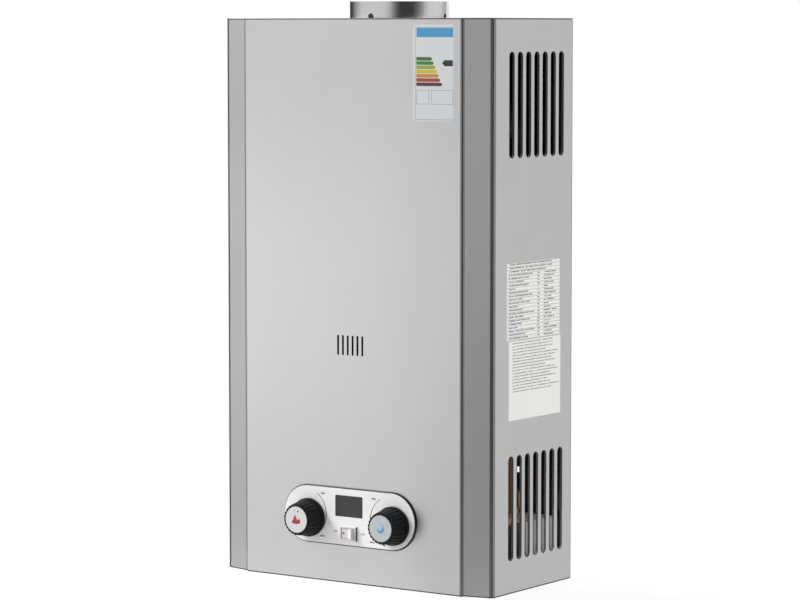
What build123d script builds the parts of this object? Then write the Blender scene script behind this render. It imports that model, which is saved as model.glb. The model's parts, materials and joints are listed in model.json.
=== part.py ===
"""Wall-hung instantaneous gas water heater, built piece by piece.

The wall is the plane y = 0 and the front faces -Y. The origin is the centre of
the wall holes, at half the height of the case. Lengths are in millimetres.
"""

import os
from math import cos, radians, sin

from build123d import *

os.makedirs("parts", exist_ok=True)

# Case
case_width = 340.0
case_height = 590.0
case_depth = 160.0
chamfer_width = 30.6
chamfer_depth = 10.0
sheet = 0.8
back_sheet = 1.0
seam = 1.0
lip = 14.0
foot_lip = 6.0
return_depth = 12.0
field_rise = 3.4
field_bend = 3.2
corner_bend = 4.0
edge_bend = 0.6
nest_gap = 0.1
fit_gap = 0.3
run_gap = 0.08
overrun = 1.0

# Wall holes and the stiffening beads of the back plate
wall_hole_radius = 4.0
wall_hole_margin_x = 95.0
wall_hole_margin_z = 79.0
hook_slot_width = 12.0
hook_slot_height = 6.0
hook_slot_margin = 70.0
hook_slot_rise = 111.0
lead_hole_radius = 3.0
lead_hole_margin = 40.0
lead_hole_rise = 79.0
bead_width = 14.0
bead_height = 3.5
bead_length = 100.0
bead_x = 45.0
bead_drop = 90.0

# Vents of the side panels and the viewing slots of the front
vent_width = 10.0
vent_length = 108.6
vent_pitch = 15.7
vent_count = 7
vent_rear_margin = 22.3
vent_end_margin = 88.3
view_slot_width = 1.8
view_slot_length = 20.1
view_slot_pitch = 6.2
view_slot_count = 6

# Top panel and its screws
panel_skirt = 10.0
case_screw_radius = 1.7
case_screw_head = 3.4
case_screw_length = 9.0
case_screw_margin = 60.0
case_screw_side_pitch = 70.0
screw_gap = 0.1

# Bottom shelf
skirt = 22.0
shelf_leg = 16.0
shelf_front_gap = 13.0
shelf_foot_gap = 1.5

# Flue collar
collar_radius = 52.5
collar_wall = 1.0
collar_rise = 17.5
collar_y = 72.0
collar_flange = 7.5
collar_hole_radius = 3.5
collar_hole_rise = 1.5
collar_hole_angles = (0, 100, 180, 260)
collar_clear = 3.0
collar_screw_radius = 1.5
collar_screw_head = 2.5
collar_screw_head_height = 1.8
collar_screw_length = 7.0
collar_screw_reach = 4.2

# Draught hood
hood_drop = 12.0
hood_wall = 0.8
hood_rear = 12.0
hood_depth = 128.0
hood_margin_x = 5.0
hood_top_half = 80.0
hood_upright_share = 0.206
hood_neck_share = 0.25
hood_mouth_width = 84.0
hood_mouth_share = 0.64

# Heat exchanger
shell_margin_x = 55.0
shell_rear_gap = 22.0
shell_front_gap = 30.0
shell_wall = 0.8
shell_bottom_share = 0.444
shell_height_share = 0.305
fin_thickness = 0.6
fin_margin = 13.8
fin_count = 24
fin_height = 40.0
fin_drop = 6.0
tube_radius = 7.5
pipe_wall = 1.0
tube_gap = 0.1
tube_pitch_share = 0.63
coil_gap = 1.0
coil_bend = 20.0
turn_ease = 0.2
coil_start_drop = 27.0
coil_lead_share = 0.222
coil_rise_share = 0.122
coil_side_rise_share = 0.061
coil_first_rise_share = 0.083
riser_margin = 17.0
elbow_radius = 9.5
elbow_bend = 18.0
elbow_rise = 20.0
hot_margin = 28.0
hot_drop = 46.0
union_flat = 24.0
union_height = 16.0
stat_radius = 8.0
stat_thickness = 6.5
overheat_rise_share = 0.69
flue_stat_x = 60.0
flue_stat_rise_share = 0.31
bracket_width = 30.0
bracket_height = 22.0
bracket_sheet = 1.5
bracket_x = 70.0
upper_bracket_share = 0.68
lower_bracket_drop = 30.0

# Burner
burner_height = 56.0
burner_wall = 1.0
blade_count = 10
blade_margin = 16.0
blade_width = 13.0
blade_neck = 7.0
blade_wall = 0.8
blade_height = 32.0
blade_drop = 18.0
blade_shoulder_share = 0.55
window_width = 44.0
window_height = 14.0
window_drop = 11.5
manifold_radius = 8.0
manifold_gap = 4.0
manifold_margin = 8.0
manifold_rise = 16.0
nozzle_radius = 2.5
nozzle_reach = 3.0
nozzle_hole_gap = 1.5
gas_pipe_radius = 6.0
gas_pipe_lift_share = 0.39
gas_pipe_bend = 18.0
gas_pipe_knee_share = 0.71
electrode_xs = (33.0, 55.0)
electrode_radius = 3.5
electrode_length = 30.0
electrode_outside = 14.0
electrode_pin_radius = 1.1
electrode_pin_reach = 20.0
electrode_tail = 8.0

# Controls on the front
fascia_width = 169.0
fascia_height = 61.5
fascia_rise = 70.3
bezel_thickness = 2.0
bezel_edge = 0.8
bezel_spigot_inset = 4.0
bezel_spigot_depth = 8.0
bezel_spigot_wall = 2.0
face_inset = 1.3
face_thickness = 0.8
knob_x = 54.0
knob_shift = 1.5
panel_shift = -1.4
knob_rise = 66.4
spindle_hole_radius = 7.0
display_width = 35.0
display_height = 22.3
display_rise = 81.7
display_corner = 1.2
display_recess = 0.2
display_thickness = 2.0
lcd_width = 40.0
lcd_height = 24.6
lcd_depth = 4.0
board_width = 50.0
board_thickness = 1.6

# Knobs and spindles
knob_gap = 0.8
knob_length = 22.0
knob_skirt_radius = 20.4
knob_skirt_height = 3.4
knob_base_radius = 19.6
knob_top_radius = 16.5
knob_edge = 0.6
flute_count = 24
flute_radius = 2.0
flute_depth_share = 0.42
cap_radius = 14.5
cap_gap = 0.1
cap_recess = 1.4
cap_rise = 0.7
cap_edge = 0.5
spindle_radius = 4.0
spindle_grip = 16.0
spindle_end_gap = 0.5

# Rocker switch
switch_width = 21.0
switch_height = 15.2
switch_rise = 53.3
switch_rim = 2.4
switch_rim_edge = 0.5
switch_body_width = 19.0
switch_body_height = 12.9
switch_body_depth = 17.0
switch_cut_gap = 0.2
switch_wall = 0.9
switch_cavity = 11.5
rocker_gap = 0.45
rocker_pivot_depth = 2.6
rocker_crest = 2.0
rocker_depth = 2.4
rocker_tilt = 13.0
rocker_pin_radius = 1.0
terminal_width = 4.8
terminal_thickness = 0.8
terminal_length = 7.0
terminal_pitch = 6.5

# Valve train
valve_y = 92.0
gas_train_gap = 22.0
gas_boss_room = 24.0
gas_block_depth = 54.0
gas_block_height = 44.0
gas_block_rise = 44.0
gas_block_corner = 9.0
gas_top_boss_radius = 17.0
gas_top_boss_height = 16.0
inlet_boss_radius = 14.0
inlet_boss_foot = 34.0
gland_radius = 12.5
gland_front_gap = 26.0
gland_bore_depth = 22.0
solenoid_radius = 14.0
solenoid_cap_radius = 9.0
solenoid_cap_length = 4.0
valve_gap_half = 24.0
cover_thickness = 8.0
valve_flange_radius = 36.0
valve_flange_thickness = 5.0
diaphragm_thickness = 1.6
drum_radius = 29.0
drum_length = 48.0
drum_edge = 4.0
outlet_boss_radius = 13.0
outlet_boss_length = 12.0
valve_screw_count = 6
valve_screw_ring_radius = 31.5
valve_screw_radius = 2.0
valve_screw_head = 3.5
valve_screw_head_height = 3.0
valve_nut_height = 3.2
spacer_radius = 5.0
spacer_reach = 20.0
rod_radius = 3.0
rod_gas_depth = 20.0
rod_travel = 4.0
rod_end_gap = 2.0
rod_collar_radius = 9.0
rod_collar_thickness = 2.0
rod_collar_x = 2.0
lever_gap = 0.3
lever_thickness = 0.8
lever_width = 5.0
lever_tip_rise = 5.0
lever_pivot_rise = 23.0
lever_barrel_radius = 1.2
microswitch_height = 12.0
microswitch_width = 10.0
microswitch_gap = 0.5
microswitch_drop = 5.0
microswitch_edge = 0.8

# Pipe fittings through the shelf
cold_x = 56.0
gas_x = 54.0
thread_radius = 10.48
thread_tip = 3.0
thread_length = 14.0
thread_chamfer = 1.0
relief_radius = 10.2
fitting_bore = 7.5
fitting_bore_depth = 26.0
fitting_flat = 27.0
fitting_hex_height = 8.2
fitting_neck_radius = 9.0
locknut_height = 4.6
locknut_gap = 0.1
shelf_hole_gap = 0.4
hot_bend = 22.0
hot_knee_share = 0.476
hot_ankle_share = 0.292
drain_x = 79.0
drain_radius = 5.0
drain_head_radius = 7.5
drain_head_height = 9.0
drain_head_foot = 12.0
drain_hole_gap = 2.5
drain_grip_count = 12
drain_grip_radius = 1.0

# Battery box and ignition controller
cell_radius = 16.6
cell_length = 59.5
cell_nub_radius = 4.75
cell_nub_length = 1.5
cell_side_gap = 0.4
battery_wall = 1.5
battery_rear = 11.5
battery_left = 92.0
battery_foot = 18.0
battery_height = 50.0
battery_flange = 3.0
battery_flange_thickness = 2.0
battery_cut_gap = 0.3
battery_edge = 1.0
door_gap = 0.3
door_thickness = 2.4
door_lip = 4.0
door_barrel_radius = 3.0
door_pin_radius = 1.3
door_pin_reach = 3.0
ear_thickness = 4.0
ear_gap = 0.3
controller_width = 96.0
controller_height = 58.0
controller_depth = 24.0
controller_x = 6.0
controller_gap = 27.0
controller_edge = 2.0
standoff_radius = 4.0
standoff_length = 6.0

# Places worked out from the sizes above
half_width = case_width / 2
wall_hole_pitch_x = case_width - 2 * wall_hole_margin_x
wall_hole_pitch_z = case_height - 2 * wall_hole_margin_z
hook_slot_x = half_width - hook_slot_margin
lead_hole_x = half_width - lead_hole_margin
case_screw_x = half_width - case_screw_margin
riser_x = half_width - riser_margin
hot_x = half_width - hot_margin
shell_half_x = half_width - shell_margin_x
shell_half_y = (case_depth - shell_rear_gap - shell_front_gap) / 2
shell_y = shell_rear_gap + shell_half_y
tube_pitch = shell_half_y * tube_pitch_share
shell_bottom = case_height * shell_bottom_share
shell_height = case_height * shell_height_share
fin_pitch = 2 * (shell_half_x - fin_margin) / (fin_count - 1)
blade_pitch = 2 * (shell_half_x - blade_margin) / (blade_count - 1)
base = -case_height / 2
crown = case_height / 2
front_y = -case_depth
chamfer_y = chamfer_depth - case_depth
inner_half = half_width - sheet - nest_gap
return_y = chamfer_y + return_depth
side_front_y = chamfer_y + seam
rear_y = -back_sheet
room_half = inner_half - sheet - fit_gap
room_rear_y = rear_y - sheet - fit_gap
shelf_z = base + skirt
shelf_top_z = shelf_z + sheet
knob_z = base + knob_rise
gas_knob_x = knob_shift - knob_x
water_knob_x = knob_shift + knob_x
valve_line_y = -valve_y
face_y = front_y - bezel_thickness - face_thickness
knob_back_y = face_y - knob_gap
knob_front_y = knob_back_y - knob_length


def write(part, name):
    """Label a finished piece and write its file."""
    part.label = name
    export_step(part, "parts/" + name + ".step")


def plan_points(rear):
    """Corners of the case in plan, seen from above, back to a given rear line."""
    return [
        (-inner_half, rear),
        (-inner_half, chamfer_y),
        (chamfer_width - half_width, front_y + field_rise),
        (chamfer_width - half_width, front_y),
        (half_width - chamfer_width, front_y),
        (half_width - chamfer_width, front_y + field_rise),
        (inner_half, chamfer_y),
        (inner_half, rear),
    ]


def plan_face(rear, inset):
    """Face of the case in plan, drawn in from its outline by an inset."""
    with BuildSketch() as plan:
        with BuildLine():
            Polyline(*plan_points(rear), close=True)
        make_face()
        if inset > 0:
            offset(amount=-inset, kind=Kind.INTERSECTION, mode=Mode.REPLACE)
        fillet(plan.vertices().group_by(Axis.Y)[0], field_bend - inset)
        side_corners = plan.vertices().filter_by(
            lambda v: abs(v.X) > inner_half - inset - nest_gap and v.Y < chamfer_y + inset + fit_gap
        )
        fillet(side_corners, corner_bend - inset)
    return plan.sketch


def at(part_x, part_y, part_z):
    """Workplane that faces up at a point."""
    return Plane(origin=(part_x, part_y, part_z))


def facing_front(part_x, part_y, part_z):
    """Workplane that faces the viewer, with x to the right and y up."""
    return Plane(origin=(part_x, part_y, part_z), x_dir=(1, 0, 0), z_dir=(0, -1, 0))


def facing_right(part_x, part_y, part_z):
    """Workplane that faces +X, with x to the rear and y up."""
    return Plane(origin=(part_x, part_y, part_z), x_dir=(0, 1, 0), z_dir=(1, 0, 0))


# Back plate
with BuildPart() as back_plate:
    with BuildSketch(facing_front(0, 0, 0)):
        Rectangle(case_width, case_height)
        with GridLocations(wall_hole_pitch_x, wall_hole_pitch_z, 2, 2):
            Circle(wall_hole_radius, mode=Mode.SUBTRACT)
        with Locations((-hook_slot_x, base + hook_slot_rise), (hook_slot_x, base + hook_slot_rise)):
            Rectangle(hook_slot_width, hook_slot_height, mode=Mode.SUBTRACT)
        with Locations((-lead_hole_x, base + lead_hole_rise), (lead_hole_x, base + lead_hole_rise)):
            Circle(lead_hole_radius, mode=Mode.SUBTRACT)
    extrude(amount=back_sheet)
    with BuildSketch(facing_front(0, rear_y, 0)):
        with Locations((-bead_x, crown - bead_drop), (bead_x, crown - bead_drop)):
            SlotOverall(bead_length, bead_width, rotation=90)
    extrude(amount=bead_height)
    with BuildSketch(facing_front(0, 0, 0)):
        with Locations((-bead_x, crown - bead_drop), (bead_x, crown - bead_drop)):
            SlotOverall(bead_length - 2 * back_sheet, bead_width - 2 * back_sheet, rotation=90)
    extrude(amount=bead_height, mode=Mode.SUBTRACT)
write(back_plate.part, "back_plate")

# Places of the case screws on the top
screw_front_y = (front_y + chamfer_y) / 2
screw_side_x = half_width - lip / 2
screw_side_y = (side_front_y + rear_y) / 2
front_screw_places = [(-case_screw_x, screw_front_y), (case_screw_x, screw_front_y)]
side_screw_places = [
    (screw_side_x, screw_side_y - case_screw_side_pitch / 2),
    (screw_side_x, screw_side_y + case_screw_side_pitch / 2),
]
left_screw_places = [(-x, y) for x, y in side_screw_places]
screw_hole_radius = case_screw_radius + screw_gap
screw_sink_radius = case_screw_head + screw_gap

# Front panel
with BuildPart() as front_panel:
    with BuildSketch(Plane.XY.offset(base)):
        add(plan_face(return_y, 0))
        add(plan_face(return_y + 2 * sheet, sheet), mode=Mode.SUBTRACT)
    extrude(amount=case_height)
    with BuildSketch(Plane.XY.offset(base), Plane.XY.offset(crown - sheet)):
        add(plan_face(return_y, 0))
        with Locations((0, side_front_y - fit_gap)):
            Rectangle(
                case_width,
                2 * return_depth,
                align=(Align.CENTER, Align.MIN),
                mode=Mode.SUBTRACT,
            )
    extrude(amount=sheet)
    rims = front_panel.edges().filter_by(
        lambda e: abs(abs(e.center().Z) - crown) < nest_gap and e.center().Y < chamfer_y - fit_gap
    )
    fillet(rims, edge_bend)
    with Locations(
        (-inner_half, side_front_y - fit_gap, base),
        (inner_half, side_front_y - fit_gap, base),
        (-inner_half, side_front_y - fit_gap, crown),
        (inner_half, side_front_y - fit_gap, crown),
    ):
        Box(
            2 * lip,
            2 * return_depth,
            2 * (sheet + fit_gap),
            align=(Align.CENTER, Align.MIN, Align.CENTER),
            mode=Mode.SUBTRACT,
        )
    with BuildSketch(facing_front(panel_shift, front_y - overrun, base + shell_bottom - window_drop)):
        with GridLocations(view_slot_pitch, 0, view_slot_count, 1):
            SlotOverall(view_slot_length, view_slot_width, rotation=90)
    extrude(amount=-(sheet + 2 * overrun), mode=Mode.SUBTRACT)
    with BuildSketch(facing_front(panel_shift, front_y - overrun, base + fascia_rise)):
        SlotOverall(
            fascia_width - 2 * bezel_spigot_inset + 2 * fit_gap,
            fascia_height - 2 * bezel_spigot_inset + 2 * fit_gap,
        )
    extrude(amount=-(sheet + 2 * overrun), mode=Mode.SUBTRACT)
    with Locations(*[at(x, y, crown) for x, y in front_screw_places]):
        CounterSinkHole(screw_hole_radius, screw_sink_radius, 2 * sheet, counter_sink_angle=90)
write(front_panel.part, "front_panel")

# Side panels, the left one a mirror of the right one
side_depth = rear_y - side_front_y
vent_y = -(vent_rear_margin + (vent_count - 1) / 2 * vent_pitch)
with BuildPart() as right_side_panel:
    with BuildSketch(facing_right(half_width, (rear_y + side_front_y) / 2, 0)):
        Rectangle(side_depth, case_height)
    extrude(amount=-sheet)
    with BuildSketch(Plane.XY.offset(crown)):
        with Locations((half_width - lip / 2, (rear_y + side_front_y) / 2)):
            Rectangle(lip, side_depth)
    extrude(amount=-sheet)
    with BuildSketch(Plane.XY.offset(base)):
        with Locations((half_width - foot_lip / 2, (rear_y + side_front_y) / 2)):
            Rectangle(foot_lip, side_depth)
    extrude(amount=sheet)
    with BuildSketch(facing_front(half_width - lip / 2, rear_y, 0)):
        Rectangle(lip, case_height)
    extrude(amount=sheet)
    with BuildSketch(facing_right(half_width + overrun, vent_y, 0)):
        with GridLocations(vent_pitch, case_height - 2 * vent_end_margin, vent_count, 2):
            SlotOverall(vent_length, vent_width, rotation=90)
    extrude(amount=-(sheet + 2 * overrun), mode=Mode.SUBTRACT)
    with Locations(*[at(x, y, crown) for x, y in side_screw_places]):
        CounterSinkHole(screw_hole_radius, screw_sink_radius, 2 * sheet, counter_sink_angle=90)
    folds = right_side_panel.edges().filter_by(
        lambda e: e.center().X > half_width - nest_gap and abs(abs(e.center().Z) - crown) < nest_gap
    )
    fillet(folds, edge_bend)
write(right_side_panel.part, "right_side_panel")

with BuildPart() as left_side_panel:
    mirror(right_side_panel.part, about=Plane.YZ)
write(left_side_panel.part, "left_side_panel")

# Top panel
hood_top_z = crown - hood_drop
with BuildPart() as top_panel:
    with BuildSketch(Plane.XY.offset(crown - 2 * sheet)):
        add(plan_face(room_rear_y + sheet + fit_gap, sheet + fit_gap))
        with Locations((0, -collar_y)):
            Circle(collar_radius + collar_clear, mode=Mode.SUBTRACT)
    extrude(amount=sheet)
    with BuildSketch(Plane.XY.offset(crown - 2 * sheet)):
        add(plan_face(room_rear_y + sheet + fit_gap, sheet + fit_gap))
        add(plan_face(room_rear_y + sheet + fit_gap, 2 * sheet + fit_gap), mode=Mode.SUBTRACT)
    extrude(amount=-panel_skirt)
    with Locations(
        *[at(x, y, crown) for x, y in front_screw_places + side_screw_places + left_screw_places]
    ):
        CounterSinkHole(screw_hole_radius, screw_sink_radius, 3 * sheet, counter_sink_angle=90)
write(top_panel.part, "top_panel")

# Case screws, flat heads level with the top
with BuildPart() as case_screws:
    with Locations(
        *[at(x, y, crown) for x, y in front_screw_places + side_screw_places + left_screw_places]
    ):
        Cone(
            case_screw_radius,
            case_screw_head,
            case_screw_head - case_screw_radius,
            align=(Align.CENTER, Align.CENTER, Align.MAX),
        )
        Cylinder(case_screw_radius, case_screw_length, align=(Align.CENTER, Align.CENTER, Align.MAX))
write(case_screws.part, "case_screws")

# Bottom shelf, one folded sheet that carries the pipe fittings
shelf_leg_y = front_y + sheet + shelf_front_gap
foot_y = front_y + sheet + shelf_foot_gap
foot_z = base + sheet
battery_width = 4 * cell_radius + 2 * cell_side_gap + 2 * battery_wall
battery_depth = cell_length + 2 * cell_nub_length + 2 * battery_wall
battery_x = battery_left + battery_width / 2
battery_y = -battery_rear - battery_depth / 2
fitting_places = [(-hot_x, valve_line_y), (-gas_x, valve_line_y), (cold_x, valve_line_y)]
with BuildPart() as bottom_shelf:
    with BuildSketch(Plane.YZ.offset(-room_half)):
        with BuildLine():
            Polyline(
                (rear_y, shelf_z + shelf_leg),
                (rear_y, shelf_z),
                (shelf_leg_y + sheet, shelf_z),
                (shelf_leg_y + sheet, foot_z),
                (foot_y, foot_z),
                (foot_y, foot_z + sheet),
                (shelf_leg_y, foot_z + sheet),
                (shelf_leg_y, shelf_top_z),
                (rear_y - sheet, shelf_top_z),
                (rear_y - sheet, shelf_z + shelf_leg),
                close=True,
            )
        make_face()
    extrude(amount=2 * room_half)
    with BuildSketch(Plane.XY.offset(base)):
        with Locations((-half_width, 0), (half_width, 0)):
            Rectangle(2 * (lip + fit_gap), 2 * (back_sheet + sheet + fit_gap))
        with Locations((-half_width, front_y), (half_width, front_y)):
            Rectangle(2 * (chamfer_width + lip), 2 * (chamfer_depth + overrun))
    extrude(amount=skirt + 2 * shelf_leg, mode=Mode.SUBTRACT)
    with BuildSketch(Plane.XY.offset(shelf_z - overrun)):
        with Locations(*fitting_places):
            Circle(relief_radius + shelf_hole_gap)
        with Locations((drain_x, valve_line_y)):
            Circle(drain_head_radius + drain_hole_gap)
        with Locations((battery_x, battery_y)):
            Rectangle(battery_width + 2 * battery_cut_gap, battery_depth + 2 * battery_cut_gap)
    extrude(amount=sheet + 2 * overrun, mode=Mode.SUBTRACT)
write(bottom_shelf.part, "bottom_shelf")

# Flue collar
with BuildPart() as flue_collar:
    with BuildSketch(at(0, -collar_y, hood_top_z)):
        Circle(collar_radius + collar_flange)
        Circle(collar_radius - collar_wall, mode=Mode.SUBTRACT)
    extrude(amount=collar_wall)
    with BuildSketch(at(0, -collar_y, hood_top_z)):
        Circle(collar_radius)
        Circle(collar_radius - collar_wall, mode=Mode.SUBTRACT)
    extrude(amount=hood_drop + collar_rise)
    for angle in collar_hole_angles:
        with Locations(
            Plane(
                origin=(0, -collar_y, crown + collar_hole_rise),
                x_dir=(cos(radians(angle)), sin(radians(angle)), 0),
                z_dir=(sin(radians(angle)), -cos(radians(angle)), 0),
            )
        ):
            Cylinder(
                collar_hole_radius,
                collar_radius + collar_wall,
                align=(Align.CENTER, Align.CENTER, Align.MIN),
                mode=Mode.SUBTRACT,
            )
    with Locations((0, -collar_y, hood_top_z)):
        with PolarLocations(collar_radius + collar_screw_reach, 4, 45):
            Cylinder(collar_screw_radius + screw_gap, 4 * collar_wall, mode=Mode.SUBTRACT)
write(flue_collar.part, "flue_collar")

# Collar screws
with BuildPart() as collar_screws:
    with Locations((0, -collar_y, hood_top_z + collar_wall)):
        with PolarLocations(collar_radius + collar_screw_reach, 4, 45):
            Cylinder(
                collar_screw_head,
                collar_screw_head_height,
                align=(Align.CENTER, Align.CENTER, Align.MIN),
            )
            Cylinder(
                collar_screw_radius,
                collar_screw_length,
                align=(Align.CENTER, Align.CENTER, Align.MAX),
            )
write(collar_screws.part, "collar_screws")

# Draught hood
shell_top_z = base + shell_bottom + shell_height
hood_half = shell_half_x + hood_margin_x
hood_y = -hood_rear - hood_depth / 2
hood_height = hood_top_z - shell_top_z
hood_upright = hood_height * hood_upright_share
hood_neck = hood_height * hood_neck_share
with BuildPart() as draught_hood:
    with BuildSketch(facing_front(0, -hood_rear, 0)):
        with BuildLine():
            Polyline(
                (-hood_half, shell_top_z),
                (hood_half, shell_top_z),
                (hood_half, shell_top_z + hood_upright),
                (hood_top_half, hood_top_z - hood_neck),
                (hood_top_half, hood_top_z),
                (-hood_top_half, hood_top_z),
                (-hood_top_half, hood_top_z - hood_neck),
                (-hood_half, shell_top_z + hood_upright),
                close=True,
            )
        make_face()
    extrude(amount=hood_depth)
    offset(amount=-hood_wall, openings=draught_hood.faces().sort_by(Axis.Z)[0], kind=Kind.INTERSECTION)
    with BuildSketch(at(0, -collar_y, hood_top_z + overrun)):
        Circle(collar_radius - collar_wall)
        with PolarLocations(collar_radius + collar_screw_reach, 4, 45):
            Circle(collar_screw_radius + screw_gap)
    extrude(amount=-(hood_wall + 2 * overrun), mode=Mode.SUBTRACT)
    with BuildSketch(facing_right(-hood_half - overrun, hood_y, shell_top_z + hood_upright / 2)):
        Rectangle(hood_mouth_width, hood_upright * hood_mouth_share)
    extrude(amount=2 * (hood_half + overrun), mode=Mode.SUBTRACT)
write(draught_hood.part, "draught_hood")

# Heat exchanger shell
shell_bottom_z = base + shell_bottom
fin_top_z = shell_top_z - fin_drop
tube_z = fin_top_z - fin_height / 2
shell_corner = coil_bend - tube_radius - coil_gap
tube_ys = (-shell_y + tube_pitch, -shell_y, -shell_y - tube_pitch)
with BuildPart() as exchanger_shell:
    with BuildSketch(at(0, -shell_y, shell_bottom_z)):
        RectangleRounded(2 * shell_half_x, 2 * shell_half_y, shell_corner)
    extrude(amount=shell_height)
    with BuildSketch(Plane.XY.offset(shell_top_z - shell_wall)):
        with Locations((0, hood_y)):
            Rectangle(2 * hood_half, hood_depth)
    extrude(amount=shell_wall)
    with BuildSketch(at(0, -shell_y, shell_bottom_z)):
        RectangleRounded(
            2 * (shell_half_x - shell_wall),
            2 * (shell_half_y - shell_wall),
            shell_corner - shell_wall,
        )
    extrude(amount=shell_height, mode=Mode.SUBTRACT)
    with BuildSketch(Plane.YZ.offset(-shell_half_x - overrun)):
        with Locations(*[(y, tube_z) for y in tube_ys]):
            Circle(tube_radius + tube_gap)
    extrude(amount=2 * (shell_half_x + overrun), mode=Mode.SUBTRACT)
write(exchanger_shell.part, "exchanger_shell")

# Fins
with BuildPart() as exchanger_fins:
    with BuildSketch(*[Plane.YZ.offset((i - (fin_count - 1) / 2) * fin_pitch) for i in range(fin_count)]):
        with Locations((-shell_y, tube_z)):
            Rectangle(2 * (shell_half_y - shell_wall), fin_height)
        with Locations(*[(y, tube_z) for y in tube_ys]):
            Circle(tube_radius + tube_gap, mode=Mode.SUBTRACT)
    extrude(amount=fin_thickness)
write(exchanger_fins.part, "exchanger_fins")

# Water coil: once round the shell, then through the fins and back
coil_x = shell_half_x + tube_radius + coil_gap
coil_rear_y = -shell_y + shell_half_y + tube_radius + coil_gap
coil_front_y = -shell_y - shell_half_y - tube_radius - coil_gap
coil_start_z = shell_bottom_z - coil_start_drop
coil_knee_z = coil_start_z + shell_height * coil_lead_share
coil_1_z = coil_knee_z + shell_height * coil_first_rise_share
coil_2_z = coil_1_z + shell_height * coil_rise_share
coil_3_z = coil_2_z + shell_height * coil_side_rise_share
coil_4_z = coil_3_z + shell_height * coil_rise_share
coil_5_z = coil_4_z + shell_height * coil_side_rise_share
turn_bend = tube_pitch / 2 - turn_ease
turn_x = shell_half_x + turn_bend + coil_gap
entry_x = shell_half_x + coil_bend + coil_gap
coil_end_z = tube_z - hot_drop
with BuildPart() as exchanger_coil:
    with BuildLine() as coil_path:
        FilletPolyline(
            (riser_x, valve_line_y, coil_start_z),
            (riser_x, valve_line_y, coil_knee_z),
            (coil_x, coil_rear_y, coil_1_z),
            (-coil_x, coil_rear_y, coil_2_z),
            (-coil_x, coil_front_y, coil_3_z),
            (coil_x, coil_front_y, coil_4_z),
            (entry_x, tube_ys[0], coil_5_z),
            (entry_x, tube_ys[0], tube_z),
            (-turn_x, tube_ys[0], tube_z),
            (-turn_x, tube_ys[1], tube_z),
            (turn_x, tube_ys[1], tube_z),
            (turn_x, tube_ys[2], tube_z),
            (-hot_x, tube_ys[2], tube_z),
            (-hot_x, tube_ys[2], coil_end_z),
            radius=[coil_bend] * 7 + [turn_bend] * 4 + [coil_bend],
        )
    with BuildSketch(at(riser_x, valve_line_y, coil_start_z)):
        Circle(tube_radius)
        Circle(tube_radius - pipe_wall, mode=Mode.SUBTRACT)
    sweep()
write(exchanger_coil.part, "exchanger_coil")

# Support brackets between the back plate and the hot box
bracket_reach = shell_y - shell_half_y - back_sheet
bracket_zs = (shell_bottom_z + shell_height * upper_bracket_share, shell_bottom_z - lower_bracket_drop)
with BuildPart() as support_brackets:
    with BuildSketch(*[Plane.YZ.offset(x - bracket_width / 2) for x in (-bracket_x, bracket_x)]):
        with Locations(*[(rear_y, z) for z in bracket_zs]):
            Rectangle(bracket_reach, bracket_height, align=(Align.MAX, Align.CENTER))
        with Locations(*[(rear_y - bracket_sheet, z - bracket_sheet) for z in bracket_zs]):
            Rectangle(
                bracket_reach - 2 * bracket_sheet,
                bracket_height,
                align=(Align.MAX, Align.CENTER),
                mode=Mode.SUBTRACT,
            )
    extrude(amount=bracket_width)
write(support_brackets.part, "support_brackets")

# Burner frame, open above and below, with a window behind the viewing slots
burner_bottom_z = shell_bottom_z - burner_height
manifold_z = burner_bottom_z + manifold_rise
manifold_y = -shell_y - shell_half_y - manifold_gap - manifold_radius
blade_xs = [(i - (blade_count - 1) / 2) * blade_pitch for i in range(blade_count)]
electrode_z = shell_bottom_z - window_drop
with BuildPart() as burner_frame:
    with BuildSketch(at(0, -shell_y, burner_bottom_z)):
        Rectangle(2 * shell_half_x, 2 * shell_half_y)
        Rectangle(2 * (shell_half_x - burner_wall), 2 * (shell_half_y - burner_wall), mode=Mode.SUBTRACT)
    extrude(amount=burner_height)
    with BuildSketch(facing_front(0, -shell_y - shell_half_y - overrun, 0)):
        with Locations((0, electrode_z)):
            Rectangle(window_width, window_height)
        with Locations(*[(x, electrode_z) for x in electrode_xs]):
            Circle(electrode_radius + fit_gap)
        with Locations(*[(x, manifold_z) for x in blade_xs]):
            Circle(nozzle_radius + nozzle_hole_gap)
    extrude(amount=-(burner_wall + 2 * overrun), mode=Mode.SUBTRACT)
write(burner_frame.part, "burner_frame")

# Burner blades
blade_top_z = shell_bottom_z - blade_drop
blade_shoulder_z = blade_top_z - blade_height * blade_shoulder_share
with BuildPart() as burner_blades:
    with BuildSketch(facing_front(0, -shell_y + shell_half_y - burner_wall, 0)):
        for blade_x in blade_xs:
            with BuildLine():
                Polyline(
                    (blade_x - blade_width / 2, blade_top_z - blade_height),
                    (blade_x + blade_width / 2, blade_top_z - blade_height),
                    (blade_x + blade_width / 2, blade_shoulder_z),
                    (blade_x + blade_neck / 2, blade_top_z - blade_neck / 2),
                    (blade_x + blade_neck / 2, blade_top_z),
                    (blade_x - blade_neck / 2, blade_top_z),
                    (blade_x - blade_neck / 2, blade_top_z - blade_neck / 2),
                    (blade_x - blade_width / 2, blade_shoulder_z),
                    close=True,
                )
            make_face()
        offset(amount=-blade_wall, kind=Kind.INTERSECTION, mode=Mode.SUBTRACT)
    extrude(amount=2 * (shell_half_y - burner_wall))
write(burner_blades.part, "burner_blades")

# Gas manifold and its nozzles
manifold_half = blade_xs[-1] + manifold_margin
with BuildPart() as gas_manifold:
    with BuildSketch(facing_right(-manifold_half, manifold_y, manifold_z)):
        Circle(manifold_radius)
    extrude(amount=2 * manifold_half)
write(gas_manifold.part, "gas_manifold")

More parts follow.
